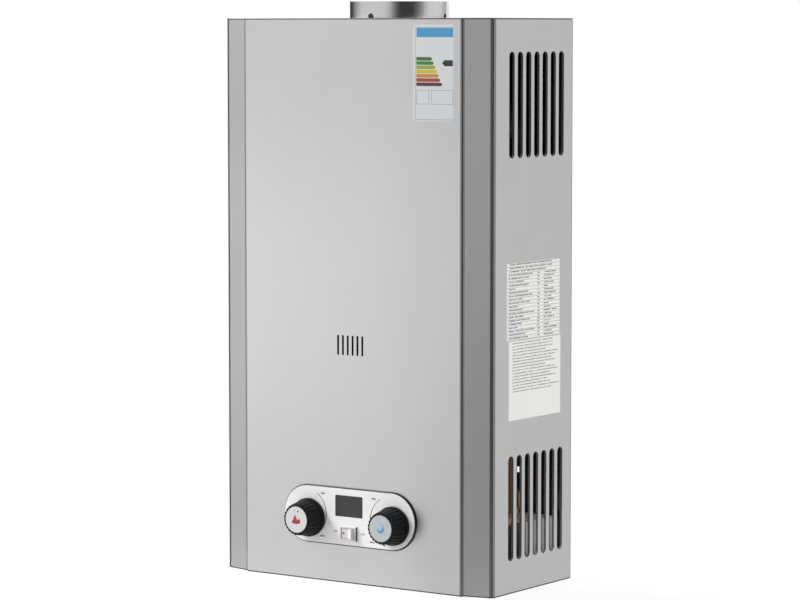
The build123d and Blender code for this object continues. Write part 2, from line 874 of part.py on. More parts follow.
with BuildPart() as injector_nozzles:
    with BuildSketch(facing_front(0, -shell_y - shell_half_y + nozzle_reach, 0)):
        with Locations(*[(x, manifold_z) for x in blade_xs]):
            Circle(nozzle_radius)
    extrude(amount=nozzle_reach + manifold_gap + manifold_radius)
    add(gas_manifold.part, mode=Mode.SUBTRACT)
write(injector_nozzles.part, "injector_nozzles")

# Ignition electrodes
plate_y = -shell_y - shell_half_y
with BuildPart() as electrode_insulators:
    with BuildSketch(facing_front(0, plate_y - electrode_outside, 0)):
        with Locations(*[(x, electrode_z) for x in electrode_xs]):
            Circle(electrode_radius)
            Circle(electrode_pin_radius + nest_gap, mode=Mode.SUBTRACT)
    extrude(amount=-electrode_length)
write(electrode_insulators.part, "electrode_insulators")

with BuildPart() as electrode_tips:
    with BuildSketch(facing_front(0, plate_y - electrode_outside - electrode_tail, 0)):
        with Locations(*[(x, electrode_z) for x in electrode_xs]):
            Circle(electrode_pin_radius)
    extrude(amount=-(electrode_tail + electrode_length + electrode_pin_reach))
write(electrode_tips.part, "electrode_tips")

# Gas valve body
gas_right_x = -valve_gap_half
gas_left_x = -gas_x - gas_boss_room
gas_block_width = gas_right_x - gas_left_x
solenoid_length = hot_x + gas_left_x - gas_train_gap - solenoid_cap_length
gas_block_x = (gas_right_x + gas_left_x) / 2
gas_foot_z = base + gas_block_rise
gas_top_z = gas_foot_z + gas_block_height
gas_outlet_z = gas_top_z + gas_top_boss_height
boss_foot_z = base + inlet_boss_foot
gland_reach = case_depth - gland_front_gap
gland_y = -gland_reach
rod_tip_x = gas_right_x - rod_gas_depth
with BuildPart() as gas_valve_body:
    with BuildSketch(at(gas_block_x, valve_line_y, gas_foot_z)):
        RectangleRounded(gas_block_width, gas_block_depth, gas_block_corner)
    extrude(amount=gas_block_height)
    with BuildSketch(at(-gas_x, valve_line_y, boss_foot_z)):
        Circle(inlet_boss_radius)
    extrude(until=Until.NEXT)
    with BuildSketch(at(-gas_x, valve_line_y, gas_top_z)):
        Circle(gas_top_boss_radius)
    extrude(amount=gas_top_boss_height)
    with BuildSketch(facing_front(gas_knob_x, valve_line_y, knob_z)):
        Circle(gland_radius)
    extrude(amount=gland_reach - valve_y)
    with BuildSketch(facing_front(gas_knob_x, gland_y, knob_z)):
        Circle(spindle_radius + run_gap)
    extrude(amount=-gland_bore_depth, mode=Mode.SUBTRACT)
    with BuildSketch(facing_right(gas_right_x, valve_line_y, knob_z)):
        Circle(rod_radius + run_gap)
    extrude(amount=-(rod_gas_depth + rod_travel + rod_end_gap), mode=Mode.SUBTRACT)
write(gas_valve_body.part, "gas_valve_body")

# Solenoid on the gas valve
with BuildPart() as gas_solenoid:
    with BuildSketch(facing_right(gas_left_x, valve_line_y, knob_z)):
        Circle(solenoid_radius)
    extrude(amount=-solenoid_length)
    with BuildSketch(facing_right(gas_left_x - solenoid_length, valve_line_y, knob_z)):
        Circle(solenoid_cap_radius)
    extrude(amount=-solenoid_cap_length)
write(gas_solenoid.part, "gas_solenoid")

# Gas pipe from the valve up to the manifold
gas_climb = manifold_z - gas_outlet_z
with BuildPart() as gas_pipe:
    with BuildLine() as gas_path:
        FilletPolyline(
            (-gas_x, valve_line_y, gas_outlet_z),
            (-gas_x, valve_line_y, gas_outlet_z + gas_climb * gas_pipe_lift_share),
            (-gas_x, manifold_y, gas_outlet_z + gas_climb * gas_pipe_knee_share),
            (-gas_x, manifold_y, manifold_z),
            radius=gas_pipe_bend,
        )
    with BuildSketch(at(-gas_x, valve_line_y, gas_outlet_z)):
        Circle(gas_pipe_radius)
    sweep()
    add(gas_manifold.part, mode=Mode.SUBTRACT)
write(gas_pipe.part, "gas_pipe")

# Water valve: cover, diaphragm, body
cover_left_x = valve_gap_half
cover_right_x = cover_left_x + cover_thickness
body_left_x = cover_right_x + diaphragm_thickness
flange_right_x = body_left_x + valve_flange_thickness
drum_right_x = flange_right_x + drum_length
outlet_x = drum_right_x + outlet_boss_length
valve_axis = facing_right(0, valve_line_y, knob_z)
with BuildPart() as water_valve_cover:
    with BuildSketch(valve_axis.offset(cover_left_x)):
        Circle(valve_flange_radius)
    extrude(amount=cover_thickness)
    with BuildSketch(valve_axis.offset(cover_left_x)):
        Circle(rod_radius + run_gap)
        with PolarLocations(valve_screw_ring_radius, valve_screw_count):
            Circle(valve_screw_radius + screw_gap)
    extrude(amount=cover_thickness, mode=Mode.SUBTRACT)
write(water_valve_cover.part, "water_valve_cover")

with BuildPart() as diaphragm:
    with BuildSketch(valve_axis.offset(cover_right_x)):
        Circle(valve_flange_radius)
        with PolarLocations(valve_screw_ring_radius, valve_screw_count):
            Circle(valve_screw_radius + screw_gap, mode=Mode.SUBTRACT)
    extrude(amount=diaphragm_thickness)
write(diaphragm.part, "diaphragm")

with BuildPart() as water_valve_body:
    with BuildSketch(valve_axis.offset(body_left_x)):
        Circle(valve_flange_radius)
    extrude(amount=valve_flange_thickness)
    with BuildSketch(valve_axis.offset(flange_right_x)):
        Circle(drum_radius)
    extrude(amount=drum_length)
    fillet(water_valve_body.faces().sort_by(Axis.X)[-1].edges(), drum_edge)
    with BuildSketch(valve_axis.offset(drum_right_x)):
        Circle(outlet_boss_radius)
    extrude(amount=outlet_boss_length)
    with BuildSketch(at(cold_x, valve_line_y, boss_foot_z)):
        Circle(inlet_boss_radius)
    extrude(until=Until.NEXT)
    with BuildSketch(facing_front(water_knob_x, valve_line_y, knob_z)):
        Circle(gland_radius)
    extrude(amount=gland_reach - valve_y)
    with BuildSketch(facing_front(water_knob_x, gland_y, knob_z)):
        Circle(spindle_radius + run_gap)
    extrude(amount=-gland_bore_depth, mode=Mode.SUBTRACT)
    with BuildSketch(valve_axis.offset(body_left_x)):
        with PolarLocations(valve_screw_ring_radius, valve_screw_count):
            Circle(valve_screw_radius + screw_gap)
    extrude(amount=valve_flange_thickness, mode=Mode.SUBTRACT)
write(water_valve_body.part, "water_valve_body")

# Screws and nuts round the water valve's flange
with BuildPart() as valve_screws:
    with BuildSketch(valve_axis.offset(cover_left_x)):
        with PolarLocations(valve_screw_ring_radius, valve_screw_count):
            Circle(valve_screw_head)
    extrude(amount=-valve_screw_head_height)
    with BuildSketch(valve_axis.offset(cover_left_x)):
        with PolarLocations(valve_screw_ring_radius, valve_screw_count):
            Circle(valve_screw_radius)
    extrude(amount=flange_right_x - cover_left_x)
    with BuildSketch(valve_axis.offset(flange_right_x)):
        with PolarLocations(valve_screw_ring_radius, valve_screw_count):
            RegularPolygon(valve_screw_head, 6)
    extrude(amount=valve_nut_height)
    add(water_valve_body.part, mode=Mode.SUBTRACT)
write(valve_screws.part, "valve_screws")

# Spacers that tie the two valves together
with BuildPart() as valve_spacers:
    with BuildSketch(valve_axis.offset(gas_right_x)):
        with Locations((-spacer_reach, 0), (spacer_reach, 0)):
            Circle(spacer_radius)
    extrude(amount=cover_left_x - gas_right_x)
write(valve_spacers.part, "valve_spacers")

# Push rod with its collar
with BuildPart() as push_rod:
    with BuildSketch(valve_axis.offset(rod_tip_x)):
        Circle(rod_radius)
    extrude(amount=cover_right_x - lever_gap - rod_tip_x)
    with BuildSketch(valve_axis.offset(-rod_collar_x)):
        Circle(rod_collar_radius)
    extrude(amount=rod_collar_thickness)
write(push_rod.part, "push_rod")

# Microswitch lever and microswitch
lever_x = rod_collar_thickness - rod_collar_x + lever_gap
lever_pivot_x = lever_x + lever_barrel_radius
lever_pivot_z = knob_z + lever_pivot_rise
with BuildPart() as microswitch_lever:
    with BuildSketch(facing_front(0, valve_line_y + lever_width / 2, 0)):
        with Locations((lever_x, knob_z + lever_tip_rise)):
            Rectangle(
                lever_thickness,
                lever_pivot_rise - lever_tip_rise,
                align=(Align.MIN, Align.MIN),
            )
        with Locations((lever_pivot_x, lever_pivot_z)):
            Circle(lever_barrel_radius)
    extrude(amount=lever_width)
write(microswitch_lever.part, "microswitch_lever")

microswitch_x = lever_pivot_x + lever_barrel_radius + microswitch_gap
with BuildPart() as microswitch:
    with BuildSketch(facing_right(cover_left_x, valve_line_y, lever_pivot_z - microswitch_drop)):
        Rectangle(microswitch_width, microswitch_height, align=(Align.CENTER, Align.MIN))
    extrude(amount=microswitch_x - cover_left_x)
    fillet(microswitch.faces().sort_by(Axis.X)[0].edges(), microswitch_edge)
write(microswitch.part, "microswitch")

# Outlet elbow of the water valve
elbow_z = knob_z + elbow_rise
with BuildPart() as outlet_elbow:
    with BuildLine() as elbow_path:
        FilletPolyline(
            (outlet_x, valve_line_y, knob_z),
            (riser_x, valve_line_y, knob_z),
            (riser_x, valve_line_y, elbow_z),
            radius=elbow_bend,
        )
    with BuildSketch(facing_right(outlet_x, valve_line_y, knob_z)):
        Circle(elbow_radius)
        Circle(tube_radius - pipe_wall, mode=Mode.SUBTRACT)
    sweep()
write(outlet_elbow.part, "outlet_elbow")

# Cold riser from the elbow up to the coil
with BuildPart() as cold_riser:
    with BuildSketch(at(riser_x, valve_line_y, elbow_z)):
        Circle(tube_radius)
        Circle(tube_radius - pipe_wall, mode=Mode.SUBTRACT)
    extrude(amount=coil_start_z - elbow_z)
write(cold_riser.part, "cold_riser")

# Hot pipe from the coil down to its fitting
hot_climb = coil_end_z - base
with BuildPart() as hot_pipe:
    with BuildLine() as hot_path:
        FilletPolyline(
            (-hot_x, tube_ys[2], coil_end_z),
            (-hot_x, tube_ys[2], base + hot_climb * hot_knee_share),
            (-hot_x, valve_line_y, base + hot_climb * hot_ankle_share),
            (-hot_x, valve_line_y, boss_foot_z),
            radius=hot_bend,
        )
    with BuildSketch(at(-hot_x, tube_ys[2], coil_end_z)):
        Circle(tube_radius)
        Circle(tube_radius - pipe_wall, mode=Mode.SUBTRACT)
    sweep()
write(hot_pipe.part, "hot_pipe")

# Union nuts over the pipe joints
with BuildPart() as pipe_unions:
    with BuildSketch(
        at(riser_x, valve_line_y, coil_start_z - union_height / 2),
        at(-hot_x, tube_ys[2], coil_end_z - union_height / 2),
        at(riser_x, valve_line_y, elbow_z),
    ):
        RegularPolygon(union_flat / 2, 6, major_radius=False, rotation=30)
        Circle(tube_radius + tube_gap, mode=Mode.SUBTRACT)
    extrude(amount=union_height)
write(pipe_unions.part, "pipe_unions")

# Thermostats
with BuildPart() as overheat_thermostat:
    with BuildSketch(facing_right(-hot_x + tube_radius, tube_ys[2], base + hot_climb * overheat_rise_share)):
        Circle(stat_radius)
    extrude(amount=stat_thickness)
write(overheat_thermostat.part, "overheat_thermostat")

flue_stat_z = shell_top_z + hood_height * flue_stat_rise_share
with BuildPart() as flue_thermostat:
    with BuildSketch(facing_front(flue_stat_x, -hood_rear - hood_depth, flue_stat_z)):
        Circle(stat_radius)
    extrude(amount=stat_thickness)
write(flue_thermostat.part, "flue_thermostat")


def fitting(place_x, place_y):
    """Threaded pipe fitting that hangs through the shelf at a place."""
    with BuildPart() as stub:
        with BuildSketch(at(place_x, place_y, base + thread_tip)):
            Circle(thread_radius)
        extrude(amount=thread_length)
        chamfer(stub.faces().sort_by(Axis.Z)[0].edges(), thread_chamfer)
        with BuildSketch(at(place_x, place_y, base + thread_tip + thread_length)):
            Circle(relief_radius)
        extrude(amount=shelf_top_z - base - thread_tip - thread_length)
        with BuildSketch(at(place_x, place_y, shelf_top_z)):
            RegularPolygon(fitting_flat / 2, 6, major_radius=False)
        extrude(amount=fitting_hex_height)
        with BuildSketch(at(place_x, place_y, shelf_top_z + fitting_hex_height)):
            Circle(fitting_neck_radius)
        extrude(amount=boss_foot_z - shelf_top_z - fitting_hex_height)
        with BuildSketch(at(place_x, place_y, base + thread_tip)):
            Circle(fitting_bore)
        extrude(amount=fitting_bore_depth, mode=Mode.SUBTRACT)
    return stub.part


# Pipe fittings and their locknuts
with BuildPart() as hot_outlet:
    add(fitting(-hot_x, valve_line_y))
write(hot_outlet.part, "hot_outlet")

with BuildPart() as gas_inlet:
    add(fitting(-gas_x, valve_line_y))
write(gas_inlet.part, "gas_inlet")

with BuildPart() as cold_inlet:
    add(fitting(cold_x, valve_line_y))
write(cold_inlet.part, "cold_inlet")

with BuildPart() as fitting_locknuts:
    with BuildSketch(Plane.XY.offset(shelf_z)):
        with Locations(*fitting_places):
            RegularPolygon(fitting_flat / 2, 6, major_radius=False)
            Circle(relief_radius + locknut_gap, mode=Mode.SUBTRACT)
    extrude(amount=-locknut_height)
write(fitting_locknuts.part, "fitting_locknuts")

# Drain plug under the water valve
drain_foot_z = base + drain_head_foot
with BuildPart() as drain_plug:
    with BuildSketch(at(drain_x, valve_line_y, drain_foot_z)):
        Circle(drain_head_radius)
        with PolarLocations(drain_head_radius, drain_grip_count):
            Circle(drain_grip_radius, mode=Mode.SUBTRACT)
    extrude(amount=drain_head_height)
    with BuildSketch(at(drain_x, valve_line_y, drain_foot_z + drain_head_height)):
        Circle(drain_radius)
    extrude(amount=knob_z - drain_foot_z - drain_head_height)
    add(water_valve_body.part, mode=Mode.SUBTRACT)
write(drain_plug.part, "drain_plug")

# Control bezel, the dark rim of the controls
fascia_z = base + fascia_rise
display_z = base + display_rise
switch_z = base + switch_rise
spigot_width = fascia_width - 2 * bezel_spigot_inset
spigot_height = fascia_height - 2 * bezel_spigot_inset
with BuildPart() as control_bezel:
    with BuildSketch(facing_front(panel_shift, front_y, fascia_z)):
        SlotOverall(fascia_width, fascia_height)
    extrude(amount=bezel_thickness)
    fillet(control_bezel.faces().sort_by(Axis.Y)[0].edges(), bezel_edge)
    with BuildSketch(facing_front(panel_shift, front_y, fascia_z)):
        SlotOverall(spigot_width, spigot_height)
        SlotOverall(
            spigot_width - 2 * bezel_spigot_wall,
            spigot_height - 2 * bezel_spigot_wall,
            mode=Mode.SUBTRACT,
        )
    extrude(amount=-bezel_spigot_depth)
    with BuildSketch(facing_front(0, front_y + overrun, 0)):
        with Locations((gas_knob_x, knob_z), (water_knob_x, knob_z)):
            Circle(spindle_hole_radius)
        with Locations((panel_shift, display_z)):
            RectangleRounded(display_width + 2 * nest_gap, display_height + 2 * nest_gap, display_corner)
        with Locations((panel_shift, switch_z)):
            Rectangle(switch_body_width + 2 * switch_cut_gap, switch_body_height + 2 * switch_cut_gap)
    extrude(amount=bezel_thickness + 2 * overrun, mode=Mode.SUBTRACT)
write(control_bezel.part, "control_bezel")

# Pale face of the controls
bezel_y = front_y - bezel_thickness
with BuildPart() as control_fascia:
    with BuildSketch(facing_front(0, bezel_y, 0)):
        with Locations((panel_shift, fascia_z)):
            SlotOverall(fascia_width - 2 * face_inset, fascia_height - 2 * face_inset)
        with Locations((gas_knob_x, knob_z), (water_knob_x, knob_z)):
            Circle(spindle_hole_radius, mode=Mode.SUBTRACT)
        with Locations((panel_shift, display_z)):
            RectangleRounded(
                display_width + 2 * nest_gap,
                display_height + 2 * nest_gap,
                display_corner,
                mode=Mode.SUBTRACT,
            )
        with Locations((panel_shift, switch_z)):
            Rectangle(
                switch_body_width + 2 * switch_cut_gap,
                switch_body_height + 2 * switch_cut_gap,
                mode=Mode.SUBTRACT,
            )
    extrude(amount=face_thickness)
write(control_fascia.part, "control_fascia")

# Display lens and the module behind it
with BuildPart() as display_lens:
    with BuildSketch(facing_front(panel_shift, face_y + display_recess, display_z)):
        RectangleRounded(display_width, display_height, display_corner)
    extrude(amount=-display_thickness)
write(display_lens.part, "display_lens")

with BuildPart() as display_module:
    with BuildSketch(facing_front(panel_shift, front_y, display_z)):
        Rectangle(lcd_width, lcd_height)
    extrude(amount=-lcd_depth)
    with BuildSketch(facing_front(panel_shift, front_y + lcd_depth, display_z)):
        Rectangle(board_width, lcd_height)
    extrude(amount=-board_thickness)
write(display_module.part, "display_module")


def fluted_face(radius, place):
    """Round face with a ring of flutes cut into its edge."""
    with BuildSketch(place) as fluted:
        Circle(radius)
        with PolarLocations(radius + flute_radius * (1 - flute_depth_share), flute_count):
            Circle(flute_radius, mode=Mode.SUBTRACT)
    return fluted.sketch


def knob(place_x):
    """Fluted control knob at a place across the fascia."""
    skirt_front_y = knob_back_y - knob_skirt_height
    with BuildPart() as grip:
        with BuildSketch(facing_front(place_x, knob_back_y, knob_z)):
            Circle(knob_skirt_radius)
        extrude(amount=knob_skirt_height)
        fillet(grip.faces().sort_by(Axis.Y)[0].edges(), knob_edge)
        loft(
            [
                fluted_face(knob_base_radius, facing_front(place_x, skirt_front_y, knob_z)),
                fluted_face(knob_top_radius, facing_front(place_x, knob_front_y, knob_z)),
            ],
            ruled=True,
        )
        with BuildSketch(facing_front(place_x, knob_front_y, knob_z)):
            Circle(cap_radius + cap_gap)
        extrude(amount=-cap_recess, mode=Mode.SUBTRACT)
        with BuildSketch(facing_front(place_x, knob_back_y, knob_z)):
            Circle(spindle_radius + nest_gap)
        extrude(amount=spindle_grip + spindle_end_gap, mode=Mode.SUBTRACT)
    return grip.part


def knob_cap(place_x):
    """Pale round cap let into the front of a knob."""
    with BuildPart() as cap:
        with BuildSketch(facing_front(place_x, knob_front_y + cap_recess, knob_z)):
            Circle(cap_radius)
        extrude(amount=cap_recess + cap_rise)
        fillet(cap.faces().sort_by(Axis.Y)[0].edges(), cap_edge)
    return cap.part


def spindle(place_x):
    """Round spindle from inside a valve gland to inside a knob."""
    with BuildPart() as stem:
        with BuildSketch(facing_front(place_x, gland_y + gland_bore_depth - spindle_end_gap, knob_z)):
            Circle(spindle_radius)
        extrude(amount=gland_y + gland_bore_depth - spindle_end_gap - knob_back_y + spindle_grip)
    return stem.part


# Knobs, caps and spindles
with BuildPart() as gas_knob:
    add(knob(gas_knob_x))
write(gas_knob.part, "gas_knob")

with BuildPart() as gas_knob_cap:
    add(knob_cap(gas_knob_x))
write(gas_knob_cap.part, "gas_knob_cap")

with BuildPart() as gas_spindle:
    add(spindle(gas_knob_x))
write(gas_spindle.part, "gas_spindle")

with BuildPart() as water_knob:
    add(knob(water_knob_x))
write(water_knob.part, "water_knob")

with BuildPart() as water_knob_cap:
    add(knob_cap(water_knob_x))
write(water_knob_cap.part, "water_knob_cap")

with BuildPart() as water_spindle:
    add(spindle(water_knob_x))
write(water_spindle.part, "water_spindle")

# Rocker switch frame
switch_front_y = face_y - switch_rim
cavity_width = switch_body_width - 2 * switch_wall
cavity_height = switch_body_height - 2 * switch_wall
with BuildPart() as switch_frame:
    with BuildSketch(facing_front(panel_shift, face_y, switch_z)):
        Rectangle(switch_width, switch_height)
    extrude(amount=switch_rim)
    fillet(switch_frame.faces().sort_by(Axis.Y)[0].edges(), switch_rim_edge)
    with BuildSketch(facing_front(panel_shift, face_y, switch_z)):
        Rectangle(switch_body_width, switch_body_height)
    extrude(amount=-switch_body_depth)
    with BuildSketch(facing_front(panel_shift, face_y + switch_body_depth, switch_z)):
        with GridLocations(terminal_pitch, 0, 2, 1):
            Rectangle(terminal_thickness, terminal_width)
    extrude(amount=-terminal_length)
    with BuildSketch(facing_front(panel_shift, switch_front_y, switch_z)):
        Rectangle(cavity_width, cavity_height)
    extrude(amount=-switch_cavity, mode=Mode.SUBTRACT)
    with BuildSketch(
        at(panel_shift, switch_front_y + rocker_pivot_depth, switch_z - switch_body_height / 2)
    ):
        Circle(rocker_pin_radius)
    extrude(amount=switch_body_height)
write(switch_frame.part, "switch_frame")

# Rocker, resting with its left end pressed in
rocker_half = cavity_width / 2 - rocker_gap
rocker_tip = rocker_half * sin(radians(rocker_tilt))
rocker_tip_half = (rocker_half**2 - (rocker_crest + rocker_tip) ** 2) ** 0.5
rocker_length = cavity_height - 2 * rocker_gap
rocker_plane = Plane(
    origin=(panel_shift, switch_front_y + rocker_pivot_depth, switch_z - rocker_length / 2),
    x_dir=(cos(radians(rocker_tilt)), -sin(radians(rocker_tilt)), 0),
    z_dir=(0, 0, 1),
)
with BuildPart() as switch_rocker:
    with BuildSketch(rocker_plane):
        with BuildLine():
            Polyline(
                (-rocker_tip_half, -rocker_crest - rocker_tip),
                (0, -rocker_crest),
                (rocker_tip_half, -rocker_crest - rocker_tip),
                (rocker_half, 0),
                (rocker_pin_radius, rocker_depth),
                (-rocker_pin_radius, rocker_depth),
                (-rocker_half, 0),
                close=True,
            )
        make_face()
        Circle(rocker_pin_radius + run_gap, mode=Mode.SUBTRACT)
    extrude(amount=rocker_length)
write(switch_rocker.part, "switch_rocker")

# Battery box
battery_foot_z = base + battery_foot
pin_y = -battery_rear + door_pin_reach
pin_z = battery_foot_z - door_gap - door_thickness / 2
ear_xs = (battery_left, battery_left + battery_width - ear_thickness)
with BuildPart() as battery_box:
    with BuildSketch(at(battery_x, battery_y, battery_foot_z)):
        Rectangle(battery_width, battery_depth)
    extrude(amount=battery_height)
    fillet(battery_box.faces().sort_by(Axis.Z)[-1].edges(), battery_edge)
    with BuildSketch(at(battery_x, battery_y, shelf_top_z)):
        Rectangle(battery_width + 2 * battery_flange, battery_depth + 2 * battery_flange)
    extrude(amount=battery_flange_thickness)
    with BuildSketch(at(battery_x, battery_y, battery_foot_z)):
        Rectangle(battery_width - 2 * battery_wall, battery_depth - 2 * battery_wall)
    extrude(amount=2 * (cell_radius + cell_side_gap), mode=Mode.SUBTRACT)
    with BuildSketch(*[facing_right(x, pin_y, pin_z) for x in ear_xs]):
        Circle(door_barrel_radius)
        with Locations((-door_pin_reach, 0)):
            Rectangle(
                door_pin_reach + door_barrel_radius,
                shelf_z - fit_gap - pin_z,
                align=(Align.MIN, Align.MIN),
            )
        Circle(door_pin_radius + nest_gap / 2, mode=Mode.SUBTRACT)
    extrude(amount=ear_thickness)
write(battery_box.part, "battery_box")

# Battery door on its hinge pin
barrel_left_x = battery_left + ear_thickness + ear_gap
barrel_length = battery_width - 2 * (ear_thickness + ear_gap)
with BuildPart() as battery_door:
    with BuildSketch(facing_right(barrel_left_x, pin_y, pin_z)):
        Circle(door_barrel_radius)
        Rectangle(2 * door_pin_reach, door_thickness, align=(Align.MAX, Align.CENTER))
    extrude(amount=barrel_length)
    with BuildSketch(at(battery_x, -battery_rear - ear_gap, pin_z)):
        Rectangle(battery_width, battery_depth - ear_gap, align=(Align.CENTER, Align.MAX))
    extrude(amount=door_thickness / 2, both=True)
    with BuildSketch(at(battery_x, -battery_rear - battery_depth, pin_z)):
        Rectangle(barrel_length / 2, 2 * door_lip)
    extrude(amount=door_thickness / 2, both=True)
    with BuildSketch(facing_right(barrel_left_x, pin_y, pin_z)):
        Circle(door_pin_radius + run_gap)
    extrude(amount=barrel_length, mode=Mode.SUBTRACT)
write(battery_door.part, "battery_door")

with BuildPart() as door_pin:
    with BuildSketch(facing_right(battery_left, pin_y, pin_z)):
        Circle(door_pin_radius)
    extrude(amount=battery_width)
write(door_pin.part, "door_pin")

# Batteries, side by side
cell_z = battery_foot_z + cell_side_gap + cell_radius
cell_xs = (battery_x - cell_radius - cell_side_gap / 2, battery_x + cell_radius + cell_side_gap / 2)
cell_rear_y = -battery_rear - battery_wall - cell_nub_length / 2
with BuildPart() as batteries:
    with BuildSketch(*[facing_front(x, cell_rear_y, cell_z) for x in cell_xs]):
        Circle(cell_radius)
    extrude(amount=cell_length)
    with BuildSketch(*[facing_front(x, cell_rear_y - cell_length, cell_z) for x in cell_xs]):
        Circle(cell_nub_radius)
    extrude(amount=cell_nub_length)
write(batteries.part, "batteries")

# Ignition controller on the back plate
controller_z = burner_bottom_z - controller_gap - controller_height / 2
with BuildPart() as ignition_controller:
    with BuildSketch(facing_front(controller_x, rear_y - standoff_length, controller_z)):
        Rectangle(controller_width, controller_height)
    extrude(amount=controller_depth)
    fillet(ignition_controller.faces().sort_by(Axis.Y)[0].edges(), controller_edge)
    with BuildSketch(facing_front(controller_x, rear_y, controller_z)):
        with GridLocations(
            controller_width - 4 * standoff_radius,
            controller_height - 4 * standoff_radius,
            2,
            2,
        ):
            Circle(standoff_radius)
    extrude(amount=standoff_length)
write(ignition_controller.part, "ignition_controller")
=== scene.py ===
"""Looks of a wall-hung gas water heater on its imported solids: finishes, print, label, light and camera."""
import json
import math

import bpy
import numpy as np
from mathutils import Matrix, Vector


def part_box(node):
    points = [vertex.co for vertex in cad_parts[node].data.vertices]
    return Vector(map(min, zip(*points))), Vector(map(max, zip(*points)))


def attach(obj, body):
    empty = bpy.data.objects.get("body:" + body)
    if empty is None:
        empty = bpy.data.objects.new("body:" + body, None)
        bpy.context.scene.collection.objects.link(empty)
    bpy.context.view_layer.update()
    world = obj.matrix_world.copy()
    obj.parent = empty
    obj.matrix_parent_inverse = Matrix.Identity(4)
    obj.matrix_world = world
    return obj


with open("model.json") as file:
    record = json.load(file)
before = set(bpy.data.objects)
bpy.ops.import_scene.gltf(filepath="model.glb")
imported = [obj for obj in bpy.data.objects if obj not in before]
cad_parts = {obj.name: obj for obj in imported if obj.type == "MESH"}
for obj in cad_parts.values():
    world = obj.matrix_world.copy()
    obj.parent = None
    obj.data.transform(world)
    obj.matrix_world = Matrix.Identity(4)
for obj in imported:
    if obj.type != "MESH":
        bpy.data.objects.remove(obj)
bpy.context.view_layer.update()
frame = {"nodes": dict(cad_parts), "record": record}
nodes = frame["nodes"]
MM = 0.001
PER_METRE = 1000.0
DEGREES = 180.0 / math.pi

# Places on the heater in millimetres, in the drawing's own frame; a box is left, right, foot and top
FACE_Y = -162.8
FRONT_Y = -160.0
FOLD_Y = -146.0
BACK_Y = -0.5
SIDE_X = 170.0
PANEL_X = -1.4
CASE_INSIDE = (-294.6, 292.8)
GAS_KNOB = (-52.5, -228.6)
WATER_KNOB = (55.5, -228.6)
CAP_Y = -186.0
CAP_RIM = (13.5, 13.9)
SWITCH_Z = -241.7
SWITCH_SHADED_FLANK = 10.25
SWITCH_FACE_Y = -159.3
SWITCH_SPOT = (PANEL_X - 5.5, SWITCH_Z + 0.1)
DISPLAY_Z = -213.3
LENS_HALF = (17.6, 11.2)

# Corner strips, bends and cut edges of the front, as distances from its middle; the bends and cut edges carry
# painted shade
STRIP_X = 140.0
STRIP_START = (139.5, 140.5)
STRIP_BEND = (137.2, 140.4)
BEND_SOFT = 0.8
OUTER_BEND = (166.4, 168.6)
CUT_EDGE = (293.6, 294.85)
STRIP_LEAN = -50.0

# Where painted shade darkens the front's steel, from the first place to the second
SHADED_FIELD_TOP = (40.0, 280.0)
SHADED_FIELD_RIGHT = (20.0, 140.0)
SHADED_FIELD_FOOT = (-60.0, -290.0)
SHADED_RIGHT_STRIP_FOOT = (200.0, -290.0)
SHADED_LEFT_STRIP_ENDS = (60.0, 250.0)

# Viewing slots of the front: their row, and half the width and height that are painted near-black as shade
SLOT_Z = -44.5
SLOT_COUNT = 6
SLOT_PITCH = 6.2
SLOT_HALF = (1.2, 10.3)

# Vent slots of the sides: middle slot, both rows' height, and the rings of their edges as growth and depth
VENT_Y = -69.4
VENT_Z = 206.7
VENT_PITCH = 15.7
VENT_LIFT = 49.3
VENT_RADIUS = 5.0
EDGE_RINGS = ((0.02, 169.25), (0.02, 167.4), (0.3, 167.1), (0.6, 167.4), (0.6, 169.25))

# Paper labels; a column of the table is its left and right border, the printed share and how ragged it ends
UPPER_LABEL = (-125.0, -24.0, -33.8, 46.0)
LOWER_LABEL = (-121.0, -22.0, -116.0, -34.6)
TABLE_PITCH = 3.6
TABLE_HEAD = (-124.0, -25.0, 0.86, 0.08)
TABLE_HEAD_FOOT = (34.6, 34.8)
TABLE_COLUMNS = ((-124.0, -68.0, 0.62, 0.22), (-67.5, -60.0, 0.62, 0.1), (-56.0, -25.0, 0.58, 0.2))
LINES_TOP = -38.5
LINES_FOOT = (-88.2, -88.0)
LINES_PITCH = 3.1
LINES_SPAN = (-118.0, -24.0, 0.86, 0.10)
FRONT_LABEL = (77.9, 130.0, 190.1, 288.2)
LABEL_CORNER = 2.5
LABEL_THICKNESS = 0.15
LABEL_OUTLINE = (81.1, 128.5, 191.7, 285.8)
LABEL_BAND = (82.4, 127.2, 275.6, 284.9)
LABEL_BOXES = ((82.4, 98.1, 207.5, 222.0), (100.9, 127.3, 207.5, 222.0))
BARS_LEFT = 82.2
BARS_TOP = 255.75
BAR_PITCH = 4.3
BAR_HALF = 1.8
FIRST_BAR_END = 101.8
BAR_GROWTH = 2.05
BAR_POINT = 0.9
MARKER = (113.8, 127.0)
MARKER_Z = 249.35
MARKER_HALF = 3.1

# Scale lines of the knobs: each circle's middle, radius and drawn side; where they start and grow wider
SCALE_LINES = ((-56.0, -223.7, 25.4, 1.0), (53.2, -225.0, 27.0, -1.0))
SCALE_TOP = -202.2
SCALE_BESIDE = 8.0
SCALE_WIDER = (-204.0, -236.0)

# Print: soft borders in millimetres, and the words' height, weight and lift off the face
SOFT = 0.12
SIGN_SOFT = 0.15
WORD_HEIGHT = 2.1
WORD_WEIGHT = 0.025
WORD_LIFT = 0.03

